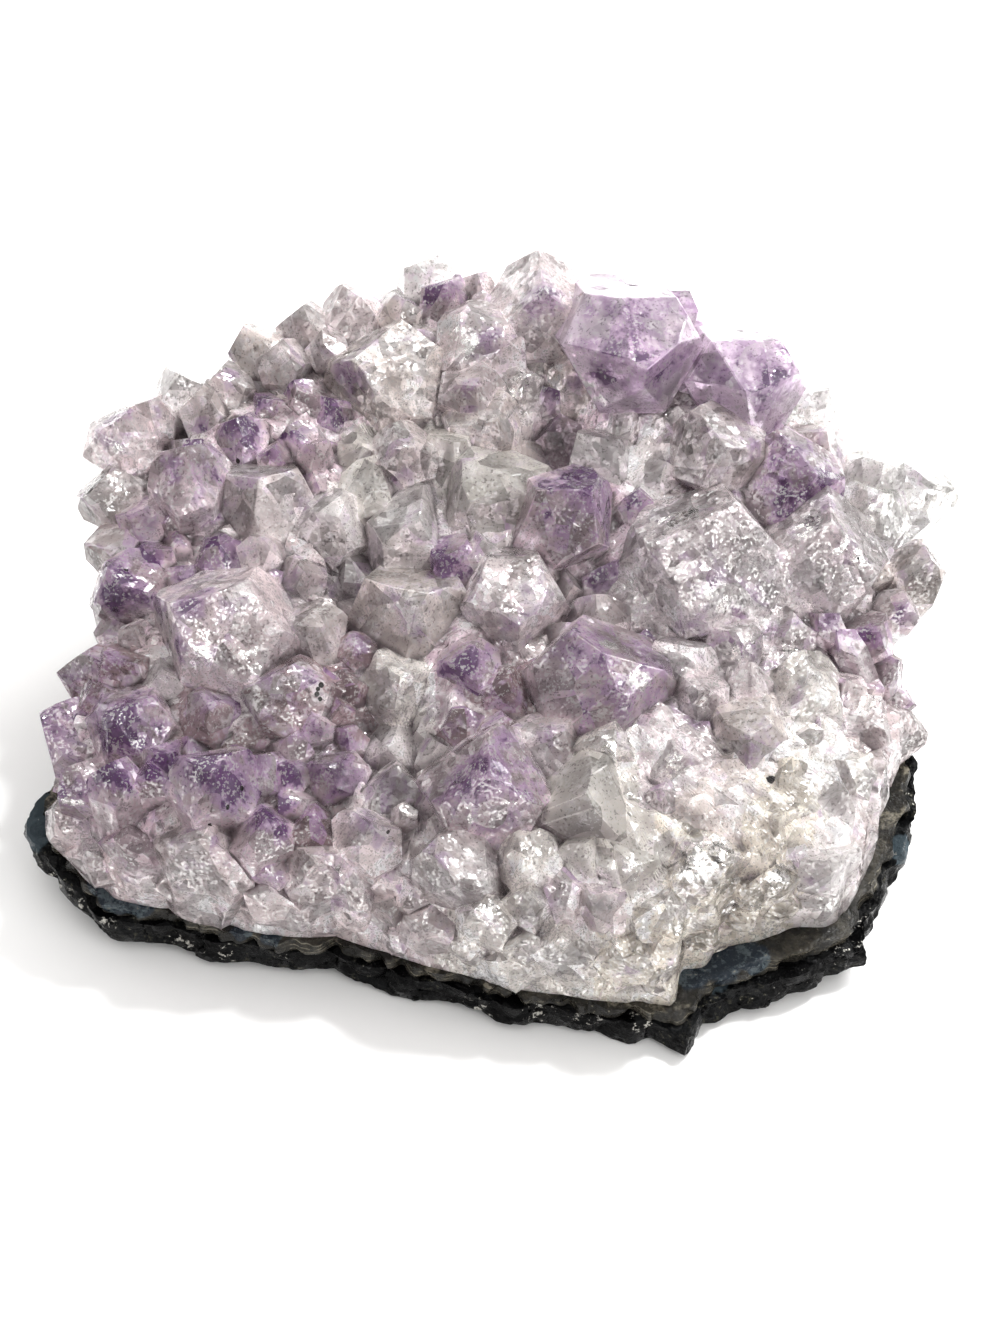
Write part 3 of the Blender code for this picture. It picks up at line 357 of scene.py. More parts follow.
# Where the photograph shows smudges of purple, mostly under tips and along edges, dark gaps where shade is
# painted, and white patches of frosted quartz with painted glints: the middle, the radius in millimetres, how
# purple it is, how deep the painted shade is, and how white it is.
StainShadeAndGlint = namedtuple("StainShadeAndGlint", "px py radius purple dark white", defaults=(0.0, 0.0))
STAINS_AND_PAINTED_SHADE = (
    (118, 415, 2.3, 0.75), (105, 440, 1.3, 0.7), (190, 440, 2.5, 0.8), (205, 428, 1.3, 0.9),
    (170, 470, 1.5, 0.8), (240, 424, 1.5, 1), (218, 478, 1.1, 0.9), (275, 458, 1.1, 0.9),
    (331, 404, 1.4, 1), (345, 372, 2.8, 0.75), (352, 395, 1.7, 0.8), (330, 350, 1.5, 0.6),
    (135, 545, 1.7, 0.7), (125, 575, 1.3, 0.7), (112, 600, 1.5, 1), (118, 612, 1.1, 1),
    (150, 562, 1.4, 0.9), (190, 600, 1.9, 1), (208, 590, 1.1, 0.7), (178, 650, 1.5, 0.7),
    (283, 575, 1.7, 0.8), (340, 595, 2.8, 0, 0.9), (355, 612, 1.3, 0.1, 0.8), (125, 705, 2.3, 0.7),
    (108, 740, 2.1, 0.8), (135, 745, 2.1, 0.85), (160, 730, 1.5, 0.8), (112, 775, 1.7, 0.95),
    (125, 785, 1.1, 1), (152, 775, 1.5, 0.9), (215, 770, 3.2, 0.7), (240, 790, 1.5, 0.8),
    (290, 773, 1.4, 1), (265, 815, 2.3, 1), (280, 830, 1.5, 0.8), (310, 770, 2.1, 0.3, 0.7),
    (335, 770, 1.7, 0.3, 0.6), (390, 808, 1.7, 0.5, 0.7), (368, 822, 1.7, 0.95), (350, 835, 1.1, 0.6),
    (462, 270, 1.1, 0.8), (440, 290, 1.7, 0.55), (548, 295, 2.8, 0.8), (530, 310, 1.7, 0.6),
    (487, 345, 2.3, 0.6), (468, 395, 1.9, 0.6), (478, 382, 1.1, 0.7), (405, 472, 1.7, 0.9),
    (392, 478, 1.1, 1), (445, 568, 2.3, 0.85), (430, 575, 1.1, 0.95), (545, 385, 1.1, 0.5),
    (555, 440, 3, 0, 1), (548, 455, 2.1, 0, 0.9), (585, 470, 2.8, 0.95), (610, 490, 1.5, 1),
    (608, 515, 1.3, 0.8), (572, 485, 1.3, 0.7), (525, 641, 1.3, 1), (512, 618, 2.1, 0.55),
    (418, 637, 1.1, 0.9), (448, 670, 1.1, 0.9), (470, 655, 1.9, 0.7), (465, 690, 1.5, 0.7),
    (612, 284, 2.8, 1), (640, 290, 1.5, 0.9), (596, 310, 2.5, 0.8), (625, 320, 3, 0.65),
    (650, 300, 1.9, 0.6), (585, 345, 2.1, 0.6), (575, 382, 1.5, 0.8), (600, 370, 2.5, 0.5),
    (745, 355, 3.2, 0.85), (770, 370, 2.1, 1), (780, 350, 1.3, 1), (765, 395, 1.5, 0.9),
    (730, 340, 2.1, 0.7), (775, 425, 1.1, 0.8), (740, 430, 1.7, 0.6), (755, 450, 1.7, 0.75),
    (775, 470, 2.1, 0.8), (780, 495, 1.3, 1), (765, 480, 1.1, 0.9), (810, 490, 2.1, 0.5),
    (635, 530, 1.7, 0.6), (737, 615, 1.3, 0.8), (700, 625, 2.1, 0.35), (772, 630, 1.5, 0.5),
    (665, 660, 2.1, 0.1, 1), (680, 668, 1.1, 0, 0.9), (697, 722, 1.7, 0.9, 0.5), (710, 725, 0.8, 1),
    (800, 700, 1.5, 0.9), (772, 666, 1, 1), (815, 640, 3.2, 0.55), (830, 670, 2.1, 0.6),
    (800, 610, 2.1, 0.5), (868, 636, 1.7, 0.7), (895, 610, 1.5, 0.5), (478, 770, 2.5, 0.6),
    (455, 780, 1.7, 0.8), (500, 765, 1.5, 0.7), (548, 738, 1.5, 0.5), (600, 905, 1.1, 0.2, 0.8),
    (430, 845, 1.3, 0.6, 0.2), (440, 860, 1.5, 0.6), (620, 700, 1.7, 0.3, 0.2), (625, 725, 1.9, 0.2, 0.4),
    (655, 560, 1.1, 0.3), (610, 640, 2.8, 0.35, 0.45), (600, 590, 2.8, 0.3, 0.4), (320, 590, 2.3, 0.3, 0.5),
    (420, 720, 2.8, 0.5, 0.2), (440, 740, 2.3, 0.6, 0.2), (350, 790, 2.3, 0.4, 0.5),
    (380, 780, 1.9, 0.4, 0.5), (300, 500, 1.7, 0.3, 0.3), (520, 700, 1.7, 0.3, 0.35),
    (560, 640, 2.5, 0.4, 0.3), (545, 690, 1.7, 0.3, 0.3), (235, 560, 1.5, 0.3, 0.3),
    (255, 720, 1.5, 0.4, 0.3), (230, 745, 1.5, 0.5, 0.3), (175, 760, 1.1, 0.5, 0.3),
    (752, 752, 1.3, 0.7, 0.3), (292, 602, 2.6, 0.3, 0.45), (330, 570, 2, 0, 0.6), (415, 800, 2.2, 0.3, 0.7),
    (395, 835, 1.6, 0.4, 0.5), (258, 755, 2, 0.3, 0.4), (510, 560, 1.8, 0.2, 0.5),
    (505, 610, 1.8, 0.4, 0.3), (720, 600, 2.6, 0, 0.3), (800, 780, 2.2, 0.2, 0.35), (750, 790, 1.8, 0, 0.3),
    (785, 915, 1.6, 0, 0.6), (640, 655, 2, 0.3, 0.5), (560, 830, 2.6, 0, 0.3), (607, 880, 1.6, 0, 0.35),
    (595, 925, 1.4, 0, 0.5), (575, 955, 1.2, 0, 0.45), (200, 745, 1.6, 0.6, 0.35),
    (440, 560, 1.6, 0.7, 0.2), (850, 905, 1.6, 0, 0.4), (300, 755, 3, 0.3, 0.35), (280, 570, 2.2, 0.2, 0.3),
    (372, 815, 2, 0.3, 0.4), (735, 535, 2.6, 0, 0.35), (675, 585, 2.2, 0, 0.25), (440, 790, 1.8, 0.3, 0.5),
    (230, 700, 1.8, 0.4, 0.3), (300, 590, 2.4, 0, 0.85), (292, 628, 1.6, 0, 0.6), (402, 790, 2.4, 0.3, 0.8),
    (378, 828, 2.2, 0.3, 0.6), (270, 745, 2.8, 0.3, 0.45), (330, 748, 2.6, 0.3, 0.5),
    (712, 548, 2.8, 0, 0.5), (796, 790, 2.4, 0, 0.45), (835, 800, 2, 0, 0.4), (760, 645, 2, 0.4, 0.4),
)
# White patches, partly frosted quartz and partly painted glints: the middle, the radius in millimetres and
# how white it is.
WHITE_AND_GLINT_PATCHES = (
    (515, 385, 2, 0.9), (470, 345, 1.8, 0.9), (455, 330, 1.5, 0.7), (405, 447, 1, 0.8),
    (330, 545, 1.5, 0.6), (480, 556, 0.9, 1), (463, 520, 1.6, 0.8), (455, 500, 1.2, 0.6),
    (680, 518, 2.4, 1), (668, 528, 1.6, 0.9), (812, 524, 2.2, 0.9), (860, 560, 1.8, 0.8),
    (845, 545, 1.5, 0.7), (665, 432, 0.9, 1), (628, 585, 1, 0.7), (650, 600, 1.5, 0.5), (720, 600, 2, 0.5),
    (865, 700, 3.2, 0.9), (850, 740, 2, 0.8), (803, 742, 1.3, 0.8), (675, 770, 2.2, 0.7),
    (697, 863, 3.2, 0.9), (720, 845, 2, 0.8), (606, 752, 2.2, 0.7), (632, 866, 2, 0.7), (490, 912, 2, 0.7),
    (400, 690, 2.2, 0.6), (165, 680, 1.2, 0.8), (170, 650, 1, 0.7), (145, 635, 1, 0.6),
    (200, 655, 2.6, 0.5), (255, 660, 2.4, 0.5), (610, 645, 1.4, 0.8), (640, 680, 1.6, 0.8),
    (700, 475, 1, 0.5), (695, 440, 1.6, 0.7), (830, 430, 1.8, 0.6), (880, 510, 2, 0.9),
    (905, 530, 1.8, 0.8), (740, 650, 1.8, 0.6), (790, 650, 1.6, 0.6), (700, 700, 1.6, 0.6),
    (735, 905, 3, 0.7), (680, 930, 2.4, 0.6), (780, 880, 2.6, 0.7), (830, 900, 2, 0.7),
    (560, 890, 1.6, 0.6), (610, 940, 2.2, 0.5), (95, 845, 1.6, 0.5), (70, 800, 1.8, 0.6),
    (120, 450, 1.4, 0.6), (205, 440, 0.9, 0.6), (195, 520, 1.2, 0.4), (512, 800, 1.6, 0.5),
    (460, 820, 1.8, 0.5), (520, 760, 1.2, 0.6), (335, 870, 1.8, 0.4), (300, 930, 1.6, 0.4),
    (430, 905, 1.2, 0.6), (540, 850, 1, 0.6),
)
STAINS_SHADE_AND_GLINTS = [StainShadeAndGlint(*row) for row in STAINS_AND_PAINTED_SHADE] + [StainShadeAndGlint(*row[:3], 0.0, 0.0, row[3]) for row in WHITE_AND_GLINT_PATCHES]

WALL_CLIMB_ANGLES = (0.12, 1.2)
MOST_INWARD_DRAW = 0.02


def rim_table():
    """The rim's points as (angle, radius, lip, lift), in order of their angle."""
    rows = [
        (math.atan2(point.y, point.x), math.hypot(point.x, point.y), point.lip, point.lift)
        for point in RIM
    ]
    rows.sort()
    first = rows[0]
    last = rows[-1]
    before = (last[0] - math.tau, *last[1:])
    after = (first[0] + math.tau, *first[1:])
    return [before, *rows, after]


RIM_ROWS = rim_table()


def rim_at(angle):
    """(radius, lip, lift) of the rim in one direction, between the two nearest points of the rim."""
    angle = math.atan2(math.sin(angle), math.cos(angle))
    for low, high in zip(RIM_ROWS, RIM_ROWS[1:]):
        if low[0] <= angle <= high[0]:
            share = (angle - low[0]) / (high[0] - low[0])
            return tuple(a + (b - a) * share for a, b in zip(low[1:], high[1:]))
    return RIM_ROWS[-1][1:]


def smoothstep(low, high, value):
    share = min(max((value - low) / (high - low), 0.0), 1.0)
    return share * share * (3.0 - 2.0 * share)


def uneven(x, y, lumps):
    """Height of a surface's lumps at one place."""
    return lumps.height * NOISE_PEAK * noise.noise(Vector((x / lumps.size, y / lumps.size, lumps.slice)))


def rock_top(x, y):
    """Height of the top of the rock, which the agate lies on."""
    radius, _, lift = rim_at(math.atan2(y, x))
    share = math.hypot(x, y) / radius
    lifted = (lift - ROCK_MIDDLE_TOP) * smoothstep(REST_SHARE, 1.0, share)
    return ROCK_MIDDLE_TOP + lifted + uneven(x, y, ROCK_TOP_LUMPS)


def agate_underside(x, y):
    return rock_top(x, y) + LAYER_GAP


def agate_top(x, y):
    return agate_underside(x, y) + AGATE_THICKNESS + uneven(x, y, AGATE_LUMPS)


def plateau_top(x, y):
    """Height of the broad top of the quartz, as if it had no edge."""
    height = BED_MIDDLE_TOP + BED_RISE_TO_BACK * y + BED_RISE_TO_RIGHT * x
    height -= BED_FALL_AT_RIGHT * max(x - BED_FALL_FROM_X, 0.0) ** 2
    for hollow in HOLLOWS:
        distance = math.hypot(x - hollow.x, y - hollow.y) / hollow.radius
        height -= hollow.depth * math.exp(-distance * distance)
    return height


def wall_width(angle):
    """How far in from the edge the bed's steep side reaches."""
    return WALL_WIDTH_MEAN - WALL_WIDTH_EXTRA_IN_FRONT * math.sin(angle)


def bed_top(x, y):
    """Height of the massive quartz that the crystals stand in, or None outside its edge."""
    angle = math.atan2(y, x)
    radius, lip, _ = rim_at(angle)
    inward = radius - lip - math.hypot(x, y)
    if inward < 0.0:
        return None
    plateau = plateau_top(x, y)
    edge = agate_top(x, y) + BED_EDGE_HEIGHT
    climb = 1.0 - min(inward / wall_width(angle), 1.0)
    return edge + (plateau - edge) * math.sqrt(1.0 - climb * climb)


def pressed_disc(sectors, cuts, outline, top, bottom, crowding=1.0):
    """A closed layer between two height functions, made from a flat disc. outline gives the edge's radius
    for an angle, and crowding above 1 puts more of its points near the edge."""
    layer = bmesh.new()
    bmesh.ops.create_circle(layer, cap_ends=True, cap_tris=True, segments=sectors, radius=1.0)
    bmesh.ops.subdivide_edges(layer, edges=layer.edges[:], cuts=cuts, use_grid_fill=True)
    lower = layer.verts[:]
    raised = bmesh.ops.extrude_face_region(layer, geom=layer.faces[:], use_keep_orig=True)
    upper = [item for item in raised["geom"] if isinstance(item, bmesh.types.BMVert)]
    for side, height in ((upper, top), (lower, bottom)):
        for vertex in side:
            share = math.hypot(vertex.co.x, vertex.co.y)
            angle = math.atan2(vertex.co.y, vertex.co.x)
            radius = (1.0 - (1.0 - min(share, 1.0)) ** crowding) * outline(angle)
            x = radius * math.cos(angle)
            y = radius * math.sin(angle)
            vertex.co = (x, y, height(x, y))
    bmesh.ops.recalc_face_normals(layer, faces=layer.faces[:])
    return layer


def slice_off(solid, point, normal):
    """Cuts away what lies past a plane, and closes the cut with one flat face."""
    geometry = solid.verts[:] + solid.edges[:] + solid.faces[:]
    bmesh.ops.bisect_plane(solid, geom=geometry, plane_co=point, plane_no=normal, clear_outer=True)
    bmesh.ops.holes_fill(solid, edges=solid.edges[:], sides=0)


def crystal_solid(width, body_length, three_faced, chance):
    """A quartz crystal along +Z, with the foot of its tip at z = 0 and its root below. Its tip has six
    faces, large and small in turn, or the three large ones alone."""
    apothem = width / 2.0
    tip_height = TIP_HEIGHT_PER_APOTHEM * apothem
    solid = bmesh.new()
    bmesh.ops.create_cube(solid, size=1.0)
    block = Vector((3.0 * width, 3.0 * width, body_length + 2.0 * tip_height + width))
    bmesh.ops.scale(solid, vec=block, verts=solid.verts[:])
    bmesh.ops.translate(solid, vec=(0.0, 0.0, block.z / 2.0 - body_length), verts=solid.verts[:])
    for side in range(PRISM_SIDES):
        angle = math.tau * side / PRISM_SIDES
        outward = Vector((math.cos(angle), math.sin(angle), 0.0))
        reach = apothem * (1.0 + chance.uniform(-UNEVEN_PRISM, UNEVEN_PRISM))
        slice_off(solid, outward * reach, outward)
    for side in range(0, PRISM_SIDES, 2 if three_faced else 1):
        angle = math.tau * side / PRISM_SIDES
        outward = Vector((math.cos(angle), math.sin(angle), 0.0))
        normal = outward * math.sin(TIP_NORMAL_ANGLE) + Vector((0.0, 0.0, math.cos(TIP_NORMAL_ANGLE)))
        if side % 2:
            shift = chance.uniform(*SMALL_TIP_FACE_SHIFT)
        else:
            shift = chance.uniform(-LARGE_TIP_FACE_SHIFT, LARGE_TIP_FACE_SHIFT)
        slice_off(solid, Vector((0.0, 0.0, tip_height + shift * apothem)), normal)
    for _ in range(BROKEN_CORNERS if width > BROKEN_CORNERS_FROM else 0):
        lean = breaks.uniform(*BREAK_LEAN)
        angle = breaks.uniform(0.0, math.tau)
        level = math.sin(lean)
        normal = Vector((math.cos(angle) * level, math.sin(angle) * level, math.cos(lean)))
        reach = max(vertex.co.dot(normal) for vertex in solid.verts)
        slice_off(solid, normal * (reach - breaks.uniform(*BREAK_DEPTH) * width), normal)
    if width > WORN_EDGES_FROM:
        bmesh.ops.bevel(
            solid,
            geom=solid.edges[:],
            offset=WORN_EDGE,
            affect="EDGES",
            segments=1,
            profile=0.5,
            material=-1,
        )
    return solid


def photo_ray(px, py):
    """(camera, direction) of the line of sight through one point of the photograph."""
    camera = CAMERA_AIM + TOWARDS_CAMERA * CAMERA_DISTANCE
    direction = CAMERA_RIGHT * (px - PHOTO_CENTRE_X) - CAMERA_UP * (py - PHOTO_CENTRE_Y)
    direction -= TOWARDS_CAMERA * PHOTO_FOCAL_PIXELS
    return camera, direction.normalized()


def footing(x, y):
    """Height that a crystal stands on, or None. Behind the front wall, crystals overhang the edge."""
    if y < OVERHANG_FROM_Y:
        return bed_top(x, y)
    radius, _, _ = rim_at(math.atan2(y, x))
    if math.hypot(x, y) > radius + OVERHANG_REACH:
        return None
    return plateau_top(x, y)


def place_on_bed(px, py, stand):
    """Where the line of sight first comes down to this height above the bed, or passes nearest to it."""
    camera, direction = photo_ray(px, py)
    nearest = None
    least = math.inf
    for step in range(SIGHT_STEPS):
        point = camera + direction * (SIGHT_STARTS + SIGHT_STEP * step)
        height = footing(point.x, point.y)
        if height is None:
            continue
        clearance = point.z - height - stand
        if clearance <= 0.0:
            return point
        if clearance < least:
            least = clearance
            nearest = point
    return nearest


def stand_along(axis, face, place):
    """The matrix that stands a crystal at a place, along an axis. Its first tip face looks this many
    degrees from the photograph's right."""
    across = (CAMERA_RIGHT - axis * CAMERA_RIGHT.dot(axis)).normalized()
    frame = Matrix((across, axis.cross(across), axis)).transposed().to_4x4()
    return Matrix.Translation(place) @ frame @ Matrix.Rotation(math.radians(face), 4, "Z")


class Crust:
    """Every crystal as a body of its own in one bmesh, and what each one's colour needs to know of it."""

    def __init__(self):
        self.bodies = bmesh.new()
        self.number = self.bodies.faces.layers.int.new("crystal")
        self.heads = []
        self.stands = [Matrix.Identity(4)]
        self.widths = [1.0]
        self.looks = [GREY]

    def look_near(self, place):
        """The look of the nearest crystal that the photograph shows."""
        nearest = min(range(len(CRYSTALS)), key=lambda index: (self.heads[index][0] - place).length)
        return self.looks[nearest + 1]

    def add(self, width, axis, face, place, root, look, chance):
        solid = crystal_solid(width, root, width < THREE_FACED_BELOW, chance)
        stand = stand_along(axis, face, place)
        bmesh.ops.transform(solid, matrix=stand, verts=solid.verts[:])
        bmesh.ops.recalc_face_normals(solid, faces=solid.faces[:])
        mesh = bpy.data.meshes.new("crystal")
        solid.to_mesh(mesh)
        solid.free()
        before = len(self.bodies.faces)
        self.bodies.from_mesh(mesh)
        bpy.data.meshes.remove(mesh)
        self.bodies.faces.ensure_lookup_table()
        for side in self.bodies.faces[before:]:
            side[self.number] = len(self.widths)
        self.stands.append(stand.inverted())
        self.widths.append(width)
        self.looks.append(look)
        self.heads.append((place, width))


def room_at(place, heads):
    """How far a place is from the nearest crystal's side."""
    return min((place - other).length - 0.5 * width for other, width in heads)


def fill_room(crust, filling, chance):
    """Puts crystals where there is room for them, each as wide as its room."""
    for _ in range(filling.tries):
        angle = chance.uniform(-math.pi, math.pi)
        radius, lip, _ = rim_at(angle)
        inward, climb = filling.where(angle, radius - lip, chance)
        x = (radius - lip - inward) * math.cos(angle)
        y = (radius - lip - inward) * math.sin(angle)
        scatter = Vector([chance.uniform(-filling.lean, filling.lean) for _ in range(3)])
        face = chance.uniform(0.0, 360.0)
        stand = chance.uniform(*filling.stand)
        outward = Vector((math.cos(angle), math.sin(angle), 0.0))
        normal = outward * climb + Vector((0.0, 0.0, math.sqrt(1.0 - climb * climb)))
        place = Vector((x, y, bed_top(x, y))) + normal * stand
        narrowest, widest = filling.width
        width = min(filling.share * room_at(place, crust.heads), widest, filling.widest_at_edge + inward)
        if width < narrowest:
            continue
        root = stand + ROOT_LENGTH + ROOT_PER_WIDTH * width
        look = crust.look_near(place)
        crust.add(width, (normal + scatter).normalized(), face, place, root, look, chance)


def anywhere_inside(angle, reach, chance):
    """How far in from the edge, anywhere on the bed, and how steep the bed is there."""
    inward = reach * (1.0 - math.sqrt(chance.uniform(MOST_INWARD_DRAW, 1.0)))
    return inward, 1.0 - min(inward / wall_width(angle), 1.0)


def on_the_wall(angle, reach, chance):
    """How far in from the edge, on its steep side, and how steep the bed is there."""
    climb = math.cos(chance.uniform(*WALL_CLIMB_ANGLES))
    return wall_width(angle) * (1.0 - climb), climb


# What fills the room between the crystals in the table: how many tries, where, how wide, how far out of the
# bed, how far from upright, and how wide for the room there is. The fine ones have random draws of their own.
Filling = namedtuple(
    "Filling",
    "tries where width stand lean share fine widest_at_edge",
    defaults=(math.inf,),
)
FINE_SEED = 11
FILLINGS = (
    Filling(1200, anywhere_inside, (4.2, 8.5), (0.0, 1.2), lean=0.35, share=2.6, fine=False),
    Filling(500, on_the_wall, (5.0, 10.0), (-3.0, -0.6), lean=0.6, share=2.6, fine=False),
    Filling(5000, anywhere_inside, (3.0, 8.0), (-0.4, 2.0), 0.5, share=4.4, fine=True, widest_at_edge=3.2),
    Filling(1500, on_the_wall, (2.0, 4.6), (-1.6, -0.2), lean=1.0, share=4.4, fine=True),
)


def grown_crystals():
    chance = random.Random(RANDOM_SEED)
    crust = Crust()
    for crystal in CRYSTALS:
        place = place_on_bed(crystal.px, crystal.py, crystal.stand)
        towards = math.sqrt(1.0 - crystal.right**2 - crystal.up**2)
        axis = CAMERA_RIGHT * crystal.right + CAMERA_UP * crystal.up + TOWARDS_CAMERA * towards
        face = chance.uniform(0.0, 360.0)
        if crystal.face is not None:
            face = crystal.face
        width = crystal.width / WIDTH_IN_SIGHT
        root = crystal.stand + ROOT_LENGTH + ROOT_PER_WIDTH * width
        crust.add(width, axis.normalized(), face, place, root, crystal.look, chance)
    fine = random.Random(FINE_SEED)
    for filling in FILLINGS:
        fill_room(crust, filling, fine if filling.fine else chance)
    return crust


def bed_edge(angle):
    radius, lip, _ = rim_at(angle)
    return radius - lip


def lumpy_bed_top(x, y):
    massive = smoothstep(*MASSIVE_FROM_X, x) * smoothstep(*MASSIVE_FROM_Y, y)
    raised = bed_top(x * BED_INSET, y * BED_INSET) + BED_RAISE + MASSIVE_RAISE * massive
    return raised + uneven(x, y, BED_LUMPS) + uneven(x, y, BED_CRUMBS)


def bed_bottom(x, y):
    return 0.0


def cutter_edge(angle):
    radius, _, _ = rim_at(angle)
    return radius * CUTTER_REACH


def cutter_top(x, y):
    return agate_top(x, y) + LAYER_GAP


def cutter_bottom(x, y):
    return CUTTER_DEPTH


def as_object(solid, name):
    mesh = bpy.data.meshes.new(name)
    solid.to_mesh(mesh)
    solid.free()
    made = bpy.data.objects.new(name, mesh)
    bpy.context.scene.collection.objects.link(made)
    return made


def join_or_cut(target, helper, operation):
    modifier = target.modifiers.new(helper.name, "BOOLEAN")
    modifier.operation = operation
    modifier.object = helper
    modifier.solver = "EXACT"
    modifier.use_self = operation == "UNION"


def largest_body(solid):
    """Deletes every body but the one with the most faces, such as a hollow sealed inside it."""
    bodies = []
    unseen = set(solid.faces)
    while unseen:
        queue = [unseen.pop()]
        body = []
        while queue:
            face = queue.pop()
            body.append(face)
            for edge in face.edges:
                for neighbour in edge.link_faces:
                    if neighbour in unseen:
                        unseen.remove(neighbour)
                        queue.append(neighbour)
        bodies.append(body)
    bodies.sort(key=len)
    for body in bodies[:-1]:
        bmesh.ops.delete(solid, geom=body, context="FACES")


crystals = grown_crystals()
bed_solid = pressed_disc(BED_SECTORS, BED_CUTS, bed_edge, lumpy_bed_top, bed_bottom)
bed_solid.faces.layers.int.new("crystal")
bed = as_object(bed_solid, "bed")
heads = as_object(crystals.bodies, "heads")
below = as_object(pressed_disc(BED_SECTORS, BED_CUTS, cutter_edge, cutter_top, cutter_bottom), "below")
join_or_cut(bed, heads, "UNION")
join_or_cut(bed, below, "DIFFERENCE")
graph = bpy.context.evaluated_depsgraph_get()
crust_mesh = bpy.data.meshes.new_from_object(bed.evaluated_get(graph))
for helper in (bed, heads, below):
    bpy.data.objects.remove(helper, do_unlink=True)


def in_sight(edge):
    """Whether an edge isn't on the quartz's hidden underside."""
    return any(end.co.z - cutter_top(end.co.x, end.co.y) > UNDERSIDE_DEPTH for end in edge.verts)


def finely_divided(solid, longest):
    """Triangles with no edge longer than this, so that colour can follow each crystal's own shape."""
    bmesh.ops.triangulate(solid, faces=solid.faces[:])
    for _ in range(DIVIDING_PASSES):
        long_edges = [edge for edge in solid.edges if edge.calc_length() > longest and in_sight(edge)]
        bmesh.ops.subdivide_edges(solid, edges=long_edges, cuts=1)
        bmesh.ops.triangulate(solid, faces=solid.faces[:])


UNDERSIDE_DEPTH = 0.2
FINEST_EDGE = 1.8
DIVIDING_PASSES = 3
FACET_SEED = 23
FACET_STEPS = 6.0
BROKEN_FINEST_EDGE = 1.1
BROKEN_HEIGHT = 0.55
BROKEN_SIZE = 1.7
CRUMBLED = 0.3
FACE_SIZE = 2.4
CALM_ABOVE_CUT = (0.4, 1.2)
solid = bmesh.new()
solid.from_mesh(crust_mesh)
largest_body(solid)
number = solid.faces.layers.int["crystal"]
facet_face = solid.faces.layers.float.new("facet")
facet_chance = random.Random(FACET_SEED)
facet_tones = {}
for side in solid.faces:
    facing = tuple(round(value * FACET_STEPS) for value in side.normal)
    facet_key = (side[number], facing if side[number] else None)
    if facet_key not in facet_tones:
        facet_tones[facet_key] = facet_chance.random()
    side[facet_face] = facet_tones[facet_key]
finely_divided(solid, FINEST_EDGE)
number = solid.faces.layers.int["crystal"]
facet_face = solid.faces.layers.float["facet"]


def crumble_of(side):
    """How crumbled one face's quartz is."""
    if side[number] == 0:
        return BROKEN_HEIGHT
    return crystals.looks[side[number]].crumble


broken_edges = [
    edge
    for edge in solid.edges
    if edge.calc_length() > BROKEN_FINEST_EDGE
    and in_sight(edge)
    and min(crumble_of(side) for side in edge.link_faces) >= CRUMBLED
]
bmesh.ops.subdivide_edges(solid, edges=broken_edges, cuts=1)
bmesh.ops.triangulate(solid, faces=solid.faces[:])
solid.normal_update()
pushes = []
for vertex in solid.verts:
    crumble = min(crumble_of(side) for side in vertex.link_faces)
    size = BROKEN_SIZE if crumble >= CRUMBLED else FACE_SIZE
    floor_share = smoothstep(*CALM_ABOVE_CUT, vertex.co.z - cutter_top(vertex.co.x, vertex.co.y))
    pushes.append(vertex.normal * (crumble * NOISE_PEAK * noise.noise(vertex.co / size) * floor_share))
for vertex, push in zip(solid.verts, pushes):
    vertex.co += push
    radius, lip, _ = rim_at(math.atan2(vertex.co.y, vertex.co.x))
    past = vertex.co.xy.length - (radius - lip + FRONT_REACH)
    past -= uneven(vertex.co.x, vertex.co.y, FRONT_UNEVEN)
    bare = FRONT_BARE * smoothstep(*FRONT_BARE_FROM_X, vertex.co.x)
    past += bare * smoothstep(*FRONT_BARE_TO_X, vertex.co.x)
    corner = smoothstep(*CORNER_FROM_X, vertex.co.x) * smoothstep(*CORNER_FROM_Y, vertex.co.y)
    past += CORNER_BARE * corner
    if past > 0.0:
        pressed = past * (1.0 - FRONT_PRESSED) * max(smoothstep(*FRONT_FROM_Y, vertex.co.y), corner)
        vertex.co.xy *= 1.0 - pressed / vertex.co.xy.length

# How open each point is to the light, from rays in every direction above it: low in the gaps between the
# crystals. The quartz's colour is painted darker where it is low, as painted shade.
OPEN_RAYS = 14
OPEN_REACH = 7.0
OPEN_START = 0.05
OPEN_SEED = 5
SHORTEST_WAY = 0.1
tree = BVHTree.FromBMesh(solid)
ways = random.Random(OPEN_SEED)
directions = []
while len(directions) < OPEN_RAYS:
    way = Vector([ways.uniform(-1.0, 1.0) for _ in range(3)])
    if SHORTEST_WAY < way.length < 1.0:
        directions.append(way.normalized())
openness = []
for vertex in solid.verts:
    start = vertex.co + vertex.normal * OPEN_START
    free = 0.0
    for way in directions:
        lean = way.dot(vertex.normal)
        ray = way if lean > 0.0 else -way
        hit = tree.ray_cast(start, ray, OPEN_REACH)
        free += 1.0 if hit[0] is None else hit[3] / OPEN_REACH
    openness.append(free / OPEN_RAYS)

solid.faces.ensure_lookup_table()
spots = []
for smudge in STAINS_SHADE_AND_GLINTS:
    camera_place, sight_line = photo_ray(smudge.px, smudge.py)
    place, _, index, _ = tree.ray_cast(camera_place, sight_line)
    if place is not None:
        spots.append((smudge, place, solid.faces[index][number]))

